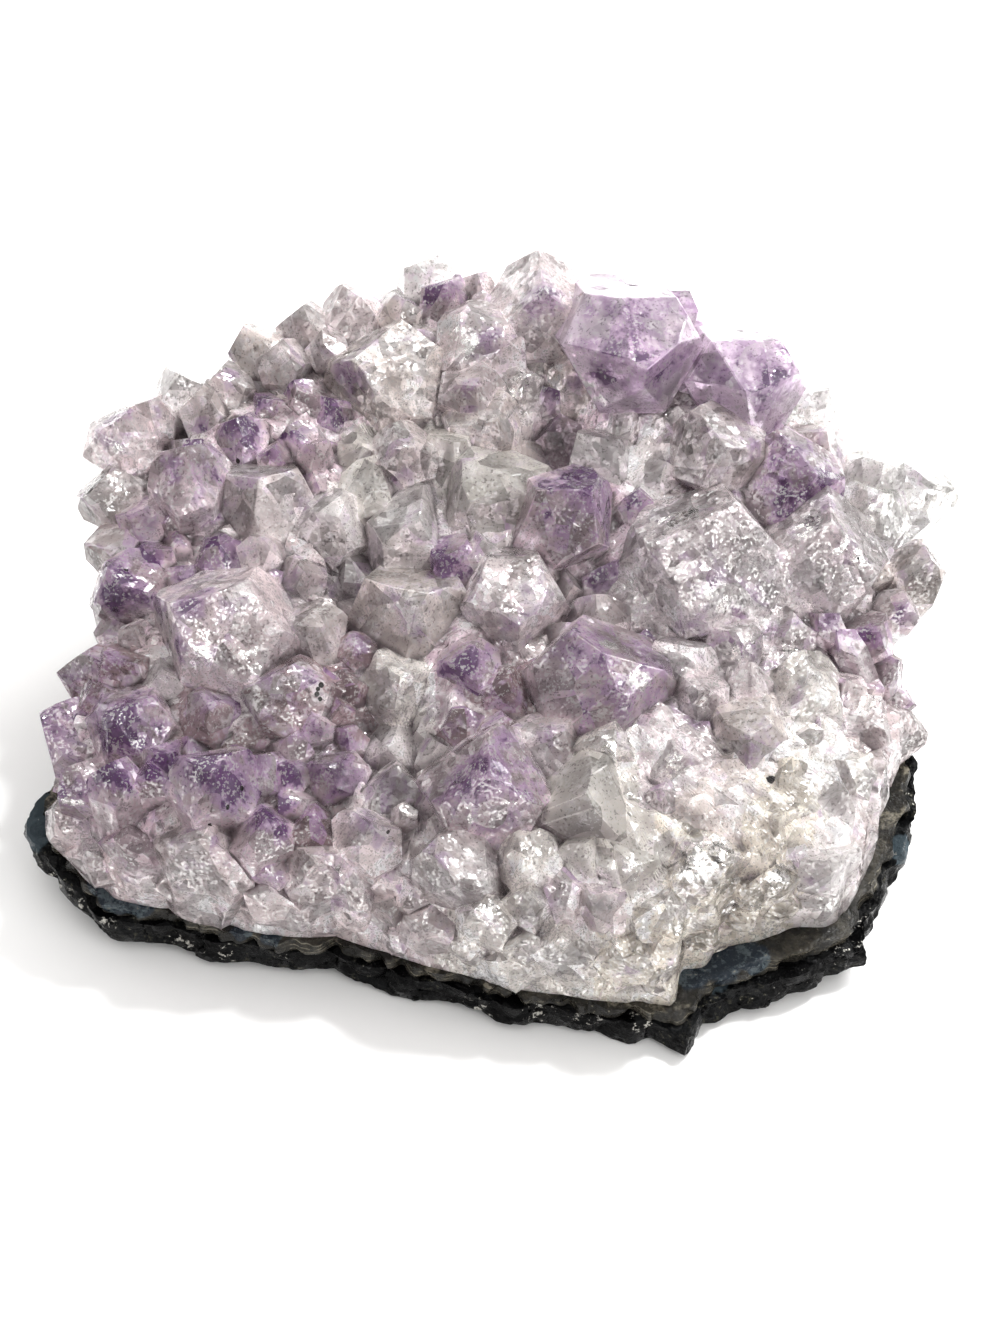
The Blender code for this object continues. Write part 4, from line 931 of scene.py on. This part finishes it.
# Black crumbs lying on the quartz: one shaped like a hook, and dots.
Crumb = namedtuple("Crumb", "px py radius")
CRUMBS = (
    Crumb(321, 685, 0.3), Crumb(318, 689, 0.25), Crumb(317, 694, 0.28), Crumb(320, 699, 0.25),
    Crumb(771, 779, 0.45), Crumb(238, 461, 0.3), Crumb(126, 570, 0.26), Crumb(242, 788, 0.28),
    Crumb(228, 807, 0.26), Crumb(210, 825, 0.24), Crumb(388, 832, 0.22),
)
crumbs = []
for crumb in CRUMBS:
    camera_place, sight_line = photo_ray(crumb.px, crumb.py)
    place, _, _, _ = tree.ray_cast(camera_place, sight_line)
    crumbs.append((to_frame(place), crumb.radius * METRES_PER_MM))

BED_LOOK_CELL = 1.5
# For these looks, the painted shade in the gaps stops at this much openness.
LEAST_OPEN = {BRIGHT: 0.5, ROYAL: 0.6}
BODY_STRENGTH = 0.93
# The body's colour is painted lighter towards the back, as painted light.
PAINTED_LIGHT_AT_BACK = 0.20
PAINTED_LIGHT_FROM_Y = (2.0, 34.0)
OTHER_CRYSTAL_SHARE = 0.3
SMUDGE_EDGE = (0.25, 1.3)
LOOK_SEED = 3
SEED_SPREAD = Vector((40.0, 0.0, 0.0))
RISE_LIMITS = (-1.0, 1.5)
grown_layer = solid.loops.layers.float_vector.new("grown")
body_layer = solid.loops.layers.float_color.new("body")
CORNER_VALUES = ("purple", "smudge", "dark", "white", "frost", "open", "seed", "facet", "rise")
corner_layers = [solid.loops.layers.float.new(name) for name in CORNER_VALUES]
solid.verts.index_update()
chance = random.Random(LOOK_SEED)
seeds = [chance.random() for _ in crystals.widths]
bed_looks = {}
for side in solid.faces:
    which = side[number]
    middle = side.calc_center_median()
    if which == 0:
        cell = tuple(round(value / BED_LOOK_CELL) for value in middle)
        if cell not in bed_looks:
            bed_looks[cell] = crystals.look_near(middle)
        look = bed_looks[cell]
    else:
        look = crystals.looks[which]
    tip_height = TIP_HEIGHT_PER_APOTHEM * crystals.widths[which] / 2.0
    near = [
        spot for spot in spots if (spot[1] - middle).length < spot[0].radius * SMUDGE_EDGE[1] + FINEST_EDGE
    ]
    for loop in side.loops:
        place = loop.vert.co
        grown = crystals.stands[which] @ place
        rise = grown.z / tip_height if which else -1.0
        smudged = 0.0
        dark = 0.0
        white = 0.0
        for smudge, centre, owner in near:
            share = 1.0 - smoothstep(*SMUDGE_EDGE, (place - centre).length / smudge.radius)
            dark = max(dark, smudge.dark * share)
            if owner != which:
                share *= OTHER_CRYSTAL_SHARE
            smudged = max(smudged, smudge.purple * share)
            white = max(white, smudge.white * share)
        opened = max(openness[loop.vert.index], LEAST_OPEN.get(look, 0.0))
        rise = min(max(rise, RISE_LIMITS[0]), RISE_LIMITS[1])
        seed = seeds[which]
        known = (look.purple, smudged, dark, white, look.frost, opened, seed, side[facet_face], rise)
        for layer, value in zip(corner_layers, known):
            loop[layer] = value
        loop[grown_layer] = (grown + SEED_SPREAD * seed) * METRES_PER_MM
        # Painted light: the body's colour is made paler towards the back, where the lamps behind light the
        # piece.
        strength_with_painted_light = BODY_STRENGTH * (1.0 + PAINTED_LIGHT_AT_BACK * smoothstep(*PAINTED_LIGHT_FROM_Y, place.y))
        loop[body_layer] = (*(value * strength_with_painted_light for value in look.body), 1.0)

solid.to_mesh(crust_mesh)
solid.free()
crust_mesh.transform(TO_FRAME)
quartz = bpy.data.objects.new("quartz", crust_mesh)
bpy.context.scene.collection.objects.link(quartz)


class Value:
    """A value in a material, so that shader maths can be written as an expression."""

    def __init__(self, recipe, socket):
        self.recipe = recipe
        self.socket = socket

    def __add__(self, other):
        return self.recipe.maths("ADD", self, other)

    def __radd__(self, other):
        return self.recipe.maths("ADD", other, self)

    def __sub__(self, other):
        return self.recipe.maths("SUBTRACT", self, other)

    def __rsub__(self, other):
        return self.recipe.maths("SUBTRACT", other, self)

    def __mul__(self, other):
        return self.recipe.maths("MULTIPLY", self, other)

    def __rmul__(self, other):
        return self.recipe.maths("MULTIPLY", other, self)

    def plus(self, other):
        """The sum of two vectors."""
        return self.recipe.vector("ADD", self, other)


class Recipe:
    """One material and its nodes."""

    def __init__(self, name):
        self.material = bpy.data.materials.new(name)
        self.material.use_nodes = True
        self.nodes = self.material.node_tree.nodes
        self.links = self.material.node_tree.links
        self.shader = self.nodes["Principled BSDF"]
        self.output = self.nodes["Material Output"]

    def put(self, socket, value):
        """Gives a socket a plain value, or links another value to it."""
        if isinstance(value, Value):
            self.links.new(value.socket, socket)
        else:
            socket.default_value = value

    def add(self, kind, settings, values, output=0):
        """Any node: its settings first, then its sockets by name or number."""
        node = self.nodes.new(kind)
        for name, value in settings.items():
            setattr(node, name, value)
        for key, value in values.items():
            self.put(node.inputs[key], value)
        return Value(self, node.outputs[output])

    def maths(self, operation, *values):
        return self.add("ShaderNodeMath", {"operation": operation}, dict(enumerate(values)))

    def band(self, value, low, high, start=0.0, end=1.0):
        """A smooth step from start to end as the value goes from low to high."""
        settings = {"interpolation_type": "SMOOTHSTEP"}
        values = {"Value": value, "From Min": low, "From Max": high, "To Min": start, "To Max": end}
        return self.add("ShaderNodeMapRange", settings, values)

    def mix(self, factor, first, second, blend="MIX"):
        """Two colours mixed."""
        settings = {"data_type": "RGBA", "blend_type": blend}
        return self.add("ShaderNodeMix", settings, {0: factor, 6: first, 7: second}, 2)

    def noise(self, vector, scale, detail, roughness):
        values = {"Vector": vector, "Scale": scale, "Detail": detail, "Roughness": roughness}
        return self.add("ShaderNodeTexNoise", {}, values)

    def vector(self, operation, *values):
        return self.add("ShaderNodeVectorMath", {"operation": operation}, dict(enumerate(values)))

    def scaled(self, vector, scale):
        return self.add("ShaderNodeVectorMath", {"operation": "SCALE"}, {0: vector, "Scale": scale})

    def centred(self, colour):
        """A random colour as a vector round zero."""
        return self.vector("SUBTRACT", colour, (0.5, 0.5, 0.5))

    def bent(self, vector, scale, reach):
        """A vector pushed about by noise, so that what is drawn on it isn't straight."""
        values = {"Vector": vector, "Scale": scale, "Detail": 0.0}
        push = self.add("ShaderNodeTexNoise", {}, values, "Color")
        return vector.plus(self.scaled(self.centred(push), reach))

    def cells(self, vector, scale):
        """A random colour for each of many small cells."""
        return self.add("ShaderNodeTexVoronoi", {}, {"Vector": vector, "Scale": scale}, "Color")

    def measured(self, operation, first, second):
        """The dot product of two vectors, or the distance between two places."""
        return self.add("ShaderNodeVectorMath", {"operation": operation}, {0: first, 1: second}, "Value")

    def tilts(self, vector, scale, amount):
        """Small flat facets, each tilted its own way by up to half this amount."""
        return self.scaled(self.centred(self.cells(vector, scale)), amount)

    def first_of(self, vector):
        """The first number of a vector, or the red of a colour."""
        return self.measured("DOT_PRODUCT", vector, (1.0, 0.0, 0.0))

    def attribute(self, name, output="Fac"):
        return self.add("ShaderNodeAttribute", {"attribute_name": name}, {}, output)

    def surface(self, **values):
        """Sets the shader's sockets, whose names have spaces where these have underscores."""
        for name, value in values.items():
            self.put(self.shader.inputs[name.replace("_", " ")], value)


MID_PURPLE = (0.34, 0.20, 0.37, 1.0)
DEEP_PURPLE = (0.08, 0.028, 0.11, 1.0)
SPECK_AND_PAINTED_SHADE_GREY = (0.075, 0.062, 0.065, 1.0)
MILK_WHITE = (0.93, 0.90, 0.89, 1.0)
FROST_AND_GLINT_WHITE = (0.99, 0.975, 0.95, 1.0)
CLEAR_GREY = (0.52, 0.49, 0.47, 1.0)
CRUMB_BLACK = (0.012, 0.010, 0.010, 1.0)
LILAC_TINT = (0.86, 0.78, 0.87, 1.0)
TINT_DENSITY = 20.0
QUARTZ_IOR = 1.544
SEE_THROUGH = 0.60
MILK_RADIUS = (1.0, 0.92, 0.97)
MILK_DEPTH = 0.0025
ALONG_THE_AXIS = (1.0, 1.0, 0.22)
SHARD_STRETCH = (1.0, 1.0, 0.55)
FAR_FROM_CRUMBS = 9.0
# How many marks of each kind there are to a metre, in the frame or along a crystal.
CLOUDS = 190.0
FLECKS = 800.0
GRAINS = 2800.0
STREAKS = 650.0
BENDS = 260.0
BEND_REACH = 0.0016
SHARDS = 300.0
CHIPS = 1150.0
# The levels in the bands below are levels of noise, from 0 to 1, where a mark begins and where it is full.
amethyst = Recipe("amethyst")
place = amethyst.add("ShaderNodeTexCoord", {}, {}, "Object")
grown = amethyst.attribute("grown", "Vector")
along = amethyst.vector("MULTIPLY", grown, ALONG_THE_AXIS)
shortened = amethyst.vector("MULTIPLY", grown, SHARD_STRETCH)
cloud = amethyst.noise(place, CLOUDS, 3.0, 0.66)
fleck = amethyst.noise(place, FLECKS, 3.0, 0.76)
grain = amethyst.noise(place, GRAINS, 1.0, 0.7)
streak = amethyst.noise(along, STREAKS, 2.0, 0.76)
shards = amethyst.bent(shortened, BENDS, BEND_REACH)
shard = amethyst.cells(shards, SHARDS)
shard_middle = Value(amethyst, shard.socket.node.outputs["Position"])
chip = amethyst.cells(shards, CHIPS)
shard_tone = amethyst.first_of(shard)
chip_tone = amethyst.first_of(chip)
shard_way = amethyst.centred(shard)
shard_offset = amethyst.vector("SUBTRACT", shards, shard_middle)
shard_slope = amethyst.measured("DOT_PRODUCT", shard_offset, shard_way)
body = amethyst.attribute("body", "Color")
purple = amethyst.attribute("purple")
dark = amethyst.attribute("dark")
white = amethyst.attribute("white")
frost = amethyst.attribute("frost")
openness_value = amethyst.attribute("open")
seed = amethyst.attribute("seed")
smudge = amethyst.attribute("smudge")
facet = amethyst.attribute("facet")
rise = amethyst.attribute("rise")
facet_two = amethyst.maths("FRACT", facet * 7.31)
tip = amethyst.band(rise + (cloud - 0.5) * 1.6 + (streak - 0.5) * 0.8, -0.3, 0.9)
calm = amethyst.band(frost, 0.0, 0.28, 0.2, 1.0)
clear = amethyst.band(cloud, 0.55, 0.40) * 0.7 * (1.1 - frost) * calm
cleared = amethyst.mix(clear, body, CLEAR_GREY, "MULTIPLY")
veil = amethyst.band(cloud + (streak - 0.5) * 0.8, 0.50, 0.62) * 0.55 * calm
milky = amethyst.mix(veil, cleared, MILK_WHITE)
broken = amethyst.band(cloud + (seed - 0.5) * 0.25, 0.40, 0.58, 0.15, 0.8) * calm + frost * 0.6
flaw = (shard_tone - 0.5) * 0.35 + (chip_tone - 0.5) * 0.5 + (fleck - 0.5) * 1.5
tone = amethyst.maths("MAXIMUM", 1.0 + (facet - 0.5) * 0.6 + shard_slope * 380.0 + flaw * broken, 0.5)
toned = amethyst.mix(1.0, milky, tone, "MULTIPLY")
stain = purple * tip * 1.5 + smudge + (streak - 0.5) * 1.4 + (cloud - 0.5) * 1.2
stain = stain + (fleck - 0.5) * 0.8 + (facet_two - 0.5) * 0.3 + shard_slope * 450.0
lilac = amethyst.mix(amethyst.band(stain, 0.20, 1.00) * 0.75, toned, MID_PURPLE)
violet = amethyst.mix(amethyst.band(stain, 1.00, 1.50) * 0.9, lilac, DEEP_PURPLE)
# Whitening with a metal sheen: real frost on the frosted crystals, and painted glints on the white patches
# and in the fine sparkle.
frost_and_glint_mask = amethyst.band(white + frost * 0.2 + (chip_tone - 0.5) * 0.5 + (fleck - 0.5) * 1.8, 0.56, 0.68)
painted_sparkle = amethyst.band(grain + (chip_tone - 0.5) * 0.16 + frost * 0.06 + white * 0.12, 0.60, 0.64)
painted_sparkle = painted_sparkle * (0.4 + frost * 0.45)
glint = amethyst.maths("MAXIMUM", frost_and_glint_mask, painted_sparkle)
whitened = amethyst.mix(glint * 0.9, violet, FROST_AND_GLINT_WHITE)
# Painted shade: the colour darkens towards a grey where the quartz is little open to the light, in the gaps
# between crystals, and under the spots of painted shade. The same grey colours the real dark specks.
painted_gap_shade = amethyst.band(openness_value + (cloud - 0.5) * 0.7, 0.46, 0.08) * 0.9
painted_gap_shade = painted_gap_shade + dark * amethyst.band(fleck, 0.3, 0.6, 0.55, 1.0)
gap_shaded = amethyst.mix(amethyst.maths("MINIMUM", painted_gap_shade, 1.0) * 0.9, whitened, SPECK_AND_PAINTED_SHADE_GREY)
speck = amethyst.band(grain + (fleck - 0.5) * 0.6, 0.38, 0.31) * 0.5
specked = amethyst.mix(speck, gap_shaded, SPECK_AND_PAINTED_SHADE_GREY)
crumb_nearness = FAR_FROM_CRUMBS
for crumb_place, crumb_radius in crumbs:
    reach = amethyst.measured("DISTANCE", place, crumb_place)
    crumb_nearness = amethyst.maths("MINIMUM", crumb_nearness, reach * (1.0 / crumb_radius))
crumb = amethyst.band(crumb_nearness + (grain - 0.5) * 0.8, 1.05, 0.9)
crumbled = amethyst.mix(crumb, specked, CRUMB_BLACK)
shard_tilt = amethyst.scaled(shard_way, 0.18 + broken * 0.25)
chip_tilt = amethyst.scaled(amethyst.centred(chip), broken * 0.55)
fine_way = amethyst.add("ShaderNodeCombineXYZ", {}, {0: grain - 0.5, 1: fleck - 0.5, 2: 0.5 - grain})
fine_tilt = amethyst.scaled(fine_way, frost * 1.4 + 0.2)
outward = amethyst.add("ShaderNodeNewGeometry", {}, {}, "Normal")
facing = amethyst.vector("NORMALIZE", outward.plus(shard_tilt).plus(chip_tilt).plus(fine_tilt))
rough = amethyst.band(fleck + frost * 0.1, 0.45, 0.65, 0.02, 0.22)
amethyst.surface(
    Base_Color=crumbled,
    Metallic=frost_and_glint_mask * 0.45 + painted_sparkle * 0.7,
    Roughness=rough,
    Normal=facing,
    Transmission_Weight=SEE_THROUGH,
    IOR=QUARTZ_IOR,
    Subsurface_Weight=1.0,
    Subsurface_Radius=MILK_RADIUS,
    Subsurface_Scale=MILK_DEPTH,
)
amethyst.shader.subsurface_method = "BURLEY"
absorption = amethyst.add("ShaderNodeVolumeAbsorption", {}, {"Color": LILAC_TINT, "Density": TINT_DENSITY})
amethyst.links.new(absorption.socket, amethyst.output.inputs["Volume"])
crust_mesh.materials.clear()
crust_mesh.materials.append(amethyst.material)
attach(quartz, "root")
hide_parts("quartz_crust")


# The agate band: a thin layer of blue-grey and olive chalcedony that lines the rock, under the quartz. Its
# broken edge shows along the front, with its layers in it.
AGATE_SETBACK = 0.5
EDGE_SECTORS = 192
EDGE_CUTS = 7
EDGE_CROWDING = 2.2
AGATE_ROWS = 4
AGATE_RAISE = 0.2
AGATE_ROUGHNESS = Lumps(height=0.45, size=1.6, slice=3.0)
AGATE_ROUGH_FROM = (0.90, 0.97)
SAME_PLACE = 1e-4
PATCH_EDGE = (0.4, 1.3)
Patch = namedtuple("Patch", "px py radius")
AGATE_SLATE = (
    Patch(118, 896, 2.4), Patch(140, 900, 2.2), Patch(100, 885, 1.6), Patch(690, 972, 2.6),
    Patch(720, 962, 2.8), Patch(750, 955, 2.4), Patch(240, 935, 1.4), Patch(270, 940, 1.2),
)


def layer_piece(name, outline, top, bottom, rows, crowding):
    """A thin layer with many rows round its edge, so that the edge can be broken unevenly."""
    layer = pressed_disc(EDGE_SECTORS, EDGE_CUTS, outline, top, bottom, crowding)
    walls = [
        edge
        for edge in layer.edges
        if (edge.verts[0].co.xy - edge.verts[1].co.xy).length < SAME_PLACE
    ]
    bmesh.ops.subdivide_edges(layer, edges=walls, cuts=rows)
    bmesh.ops.triangulate(layer, faces=layer.faces[:])
    layer.normal_update()
    return layer


def patch_share(tree, patches, points):
    """How far each vertex lies in one of the patches that the photograph shows."""
    spots = []
    for patch in patches:
        camera_place, sight_line = photo_ray(patch.px, patch.py)
        place, _, _, _ = tree.ray_cast(camera_place, sight_line)
        if place is not None:
            spots.append((place, patch.radius))

    def share_at(point):
        shares = [1.0 - smoothstep(*PATCH_EDGE, (point - place).length / radius) for place, radius in spots]
        return max(shares, default=0.0)

    return [share_at(point) for point in points]


def paint(layer, name, shares):
    painted = layer.verts.layers.float.new(name)
    for vertex, share in zip(layer.verts, shares):
        vertex[painted] = share


def as_piece(layer, name, node, material):
    mesh = bpy.data.meshes.new(name)
    layer.to_mesh(mesh)
    layer.free()
    mesh.transform(TO_FRAME)
    mesh.materials.append(material)
    piece = bpy.data.objects.new(name, mesh)
    bpy.context.scene.collection.objects.link(piece)
    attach(piece, "root")
    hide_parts(node)


def agate_edge(angle):
    radius, lip, _ = rim_at(angle)
    x = radius * math.cos(angle)
    y = radius * math.sin(angle)
    return radius - AGATE_SETBACK * lip + uneven(x, y, AGATE_ROUGHNESS)


def raised_agate_top(x, y):
    return agate_top(x, y) + AGATE_RAISE


agate_layer = layer_piece("agate", agate_edge, raised_agate_top, agate_underside, AGATE_ROWS, EDGE_CROWDING)
for vertex in agate_layer.verts:
    reach = rim_at(math.atan2(vertex.co.y, vertex.co.x))[0]
    share = smoothstep(*AGATE_ROUGH_FROM, vertex.co.xy.length / reach)
    outward = Vector((vertex.co.x, vertex.co.y, 0.0)).normalized()
    lump = noise.noise(vertex.co / AGATE_ROUGHNESS.size)
    vertex.co += outward * (share * AGATE_ROUGHNESS.height * NOISE_PEAK * lump)
agate_tree = BVHTree.FromBMesh(agate_layer)
agate_places = [vertex.co for vertex in agate_layer.verts]
paint(agate_layer, "slate", patch_share(agate_tree, AGATE_SLATE, agate_places))
paint(agate_layer, "depth", [
    (vertex.co.z - rock_top(vertex.co.x, vertex.co.y)) / (AGATE_THICKNESS + LAYER_GAP + AGATE_RAISE)
    for vertex in agate_layer.verts
])

SLATE_BLUE = (0.014, 0.020, 0.028, 1.0)
SLATE_TEAL = (0.060, 0.076, 0.085, 1.0)
OLIVE = (0.012, 0.011, 0.009, 1.0)
OLIVE_GREY = (0.040, 0.036, 0.028, 1.0)
BAND_CREAM = (0.26, 0.235, 0.18, 1.0)
BAND_DARK = (0.015, 0.015, 0.015, 1.0)
agate = Recipe("agate")
place = agate.add("ShaderNodeTexCoord", {}, {}, "Object")
cloud = agate.noise(place, 260.0, 4.0, 0.65)
fleck = agate.noise(place, 1300.0, 4.0, 0.72)
slate = agate.attribute("slate")
depth = agate.attribute("depth")
layered = agate.add("ShaderNodeTexWave", {"wave_type": "BANDS", "bands_direction": "X"}, {
    "Vector": agate.add("ShaderNodeCombineXYZ", {}, {0: depth + (cloud - 0.5) * 0.5}),
    "Scale": 1.1, "Distortion": 0.6, "Detail": 3.0,
}, "Fac")
olive = agate.mix(agate.band(cloud, 0.42, 0.60), OLIVE, OLIVE_GREY)
lined = agate.mix(agate.band(layered, 0.84, 0.98) * agate.band(cloud, 0.48, 0.60) * 0.7, olive, BAND_CREAM)
darkened = agate.mix(agate.band(fleck, 0.50, 0.38) * 0.7, lined, BAND_DARK)
blue = agate.mix(agate.band(cloud + (fleck - 0.5) * 0.9, 0.48, 0.60), SLATE_BLUE, SLATE_TEAL)
slated = agate.mix(agate.band(slate + (cloud - 0.5) * 0.8, 0.35, 0.60), darkened, blue)
flecked = agate.mix(agate.band(fleck, 0.64, 0.70) * 0.7, slated, BAND_CREAM)
relief = agate.add("ShaderNodeBump", {}, {"Strength": 0.5, "Distance": 0.0004, "Height": fleck + cloud})
agate.surface(
    Base_Color=flecked,
    Roughness=agate.band(fleck, 0.4, 0.6, 0.10, 0.32),
    Normal=relief,
    Specular_IOR_Level=0.2,
)
as_piece(agate_layer, "agate", "agate_band", agate.material)


# The rock rind: the glossy near-black volcanic rock that the geode grew in, broken to a thin skin with a
# sharp, chipped edge. The piece rests on it.
ROCK_EDGE_THICKNESS = 3.2
LEAST_EDGE_LIFT = 0.6
ROUGH_SHARE = 0.8
ROCK_ROWS = 7
ROCK_RAISE = 0.15
ROCK_UNDERSIDE_LUMPS = Lumps(height=0.5, size=6.0, slice=4.0)
ROCK_EDGE_LUMPS = Lumps(height=0.5, size=5.0, slice=2.0)
ROCK_CHIPS = Lumps(height=1.5, size=3.0, slice=0.0)
ROCK_SMALL_CHIPS = Lumps(height=0.45, size=1.0, slice=0.0)
ROCK_BARE_EDGE = (-0.4, 0.5)
MOST_PROUD = 0.3
CHIP_DROP = 0.3
ROCK_SLATE = (
    Patch(30, 838, 2), Patch(40, 822, 2), Patch(30, 855, 1.6), Patch(46, 805, 1.6), Patch(710, 975, 2.6),
    Patch(690, 985, 2), Patch(735, 968, 2), Patch(905, 850, 2),
)
ROCK_SPECKLED = (
    Patch(62, 888, 2), Patch(85, 905, 2), Patch(105, 925, 2), Patch(45, 870, 1.6), Patch(180, 945, 2),
    Patch(220, 955, 2), Patch(480, 1005, 2.4), Patch(540, 1012, 2.4), Patch(590, 1020, 2.4),
    Patch(640, 1025, 2), Patch(830, 935, 3), Patch(860, 925, 2.4),
)


def rock_edge(angle):
    radius, _, _ = rim_at(angle)
    return radius + uneven(radius * math.cos(angle), radius * math.sin(angle), ROCK_EDGE_LUMPS)


def rock_bottom(x, y):
    """Height of the underside of the rock: level where it rests, and lifted and rough towards the edge."""
    radius, _, lift = rim_at(math.atan2(y, x))
    share = math.hypot(x, y) / radius
    lifted = max(lift - ROCK_EDGE_THICKNESS, LEAST_EDGE_LIFT) * smoothstep(REST_SHARE, 1.0, share)
    lumps = uneven(x, y, ROCK_UNDERSIDE_LUMPS) * smoothstep(REST_SHARE, ROUGH_SHARE, share)
    return max(lifted + lumps, 0.0)


def raised_rock_top(x, y):
    return rock_top(x, y) + ROCK_RAISE


def scoop(place, lumps):
    """Depth of the shell-shaped scoops of broken glassy rock."""
    distances, _ = noise.voronoi(place / lumps.size)
    return lumps.height * (distances[0] - 0.5)


rock_layer = layer_piece("rock", rock_edge, raised_rock_top, rock_bottom, ROCK_ROWS, EDGE_CROWDING)
for vertex in rock_layer.verts:
    radius, lip, _ = rim_at(math.atan2(vertex.co.y, vertex.co.x))
    bare = radius - AGATE_SETBACK * lip
    share = smoothstep(bare + ROCK_BARE_EDGE[0], bare + ROCK_BARE_EDGE[1], vertex.co.xy.length)
    outward = Vector((vertex.co.x, vertex.co.y, 0.0)).normalized()
    depth = scoop(vertex.co, ROCK_CHIPS) + scoop(vertex.co, ROCK_SMALL_CHIPS)
    vertex.co -= outward * (share * max(depth, -MOST_PROUD))
    vertex.co.z = max(vertex.co.z - CHIP_DROP * share * depth, 0.0)
rock_tree = BVHTree.FromBMesh(rock_layer)
rock_places = [vertex.co for vertex in rock_layer.verts]
paint(rock_layer, "slate", patch_share(rock_tree, ROCK_SLATE, rock_places))
paint(rock_layer, "speckled", patch_share(rock_tree, ROCK_SPECKLED, rock_places))

ROCK_BLACK = (0.0015, 0.0015, 0.0017, 1.0)
ROCK_GREY = (0.007, 0.0075, 0.008, 1.0)
ROCK_SLATE_BLUE = (0.045, 0.060, 0.070, 1.0)
ROCK_OLIVE = (0.055, 0.052, 0.038, 1.0)
ROCK_GLINT_WHITE = (0.62, 0.60, 0.55, 1.0)
basalt = Recipe("basalt")
place = basalt.add("ShaderNodeTexCoord", {}, {}, "Object")
cloud = basalt.noise(place, 220.0, 4.0, 0.62)
fleck = basalt.noise(place, 1100.0, 4.0, 0.76)
slate = basalt.attribute("slate")
speckled = basalt.attribute("speckled")
dull = basalt.mix(basalt.band(cloud + (fleck - 0.5) * 0.4, 0.46, 0.66), ROCK_BLACK, ROCK_GREY)
olived = basalt.mix(basalt.band(fleck, 0.56, 0.66) * basalt.band(cloud, 0.45, 0.6), dull, ROCK_OLIVE)
slated = basalt.mix(basalt.band(slate + (fleck - 0.5) * 0.9, 0.30, 0.60), olived, ROCK_SLATE_BLUE)
# Painted glints: small white marks with a metal sheen on the black rock, denser in the speckled patches.
painted_glint_mark = basalt.band(fleck + speckled * 0.09, 0.665, 0.70)
glint_marked = basalt.mix(painted_glint_mark * 0.8, slated, ROCK_GLINT_WHITE)
tilted = basalt.tilts(basalt.bent(place, 500.0, 0.0008), 700.0, 0.7)
outward = basalt.add("ShaderNodeNewGeometry", {}, {}, "Normal")
facing = basalt.vector("NORMALIZE", outward.plus(tilted))
bumps = {"Strength": 0.5, "Distance": 0.0005, "Height": fleck, "Normal": facing}
relief = basalt.add("ShaderNodeBump", {}, bumps)
basalt.surface(
    Base_Color=glint_marked,
    Metallic=painted_glint_mark * 0.5,
    Roughness=basalt.band(fleck, 0.4, 0.6, 0.10, 0.35),
    Normal=relief,
    Specular_IOR_Level=0.07,
)
as_piece(rock_layer, "basalt", "basalt_rind", basalt.material)
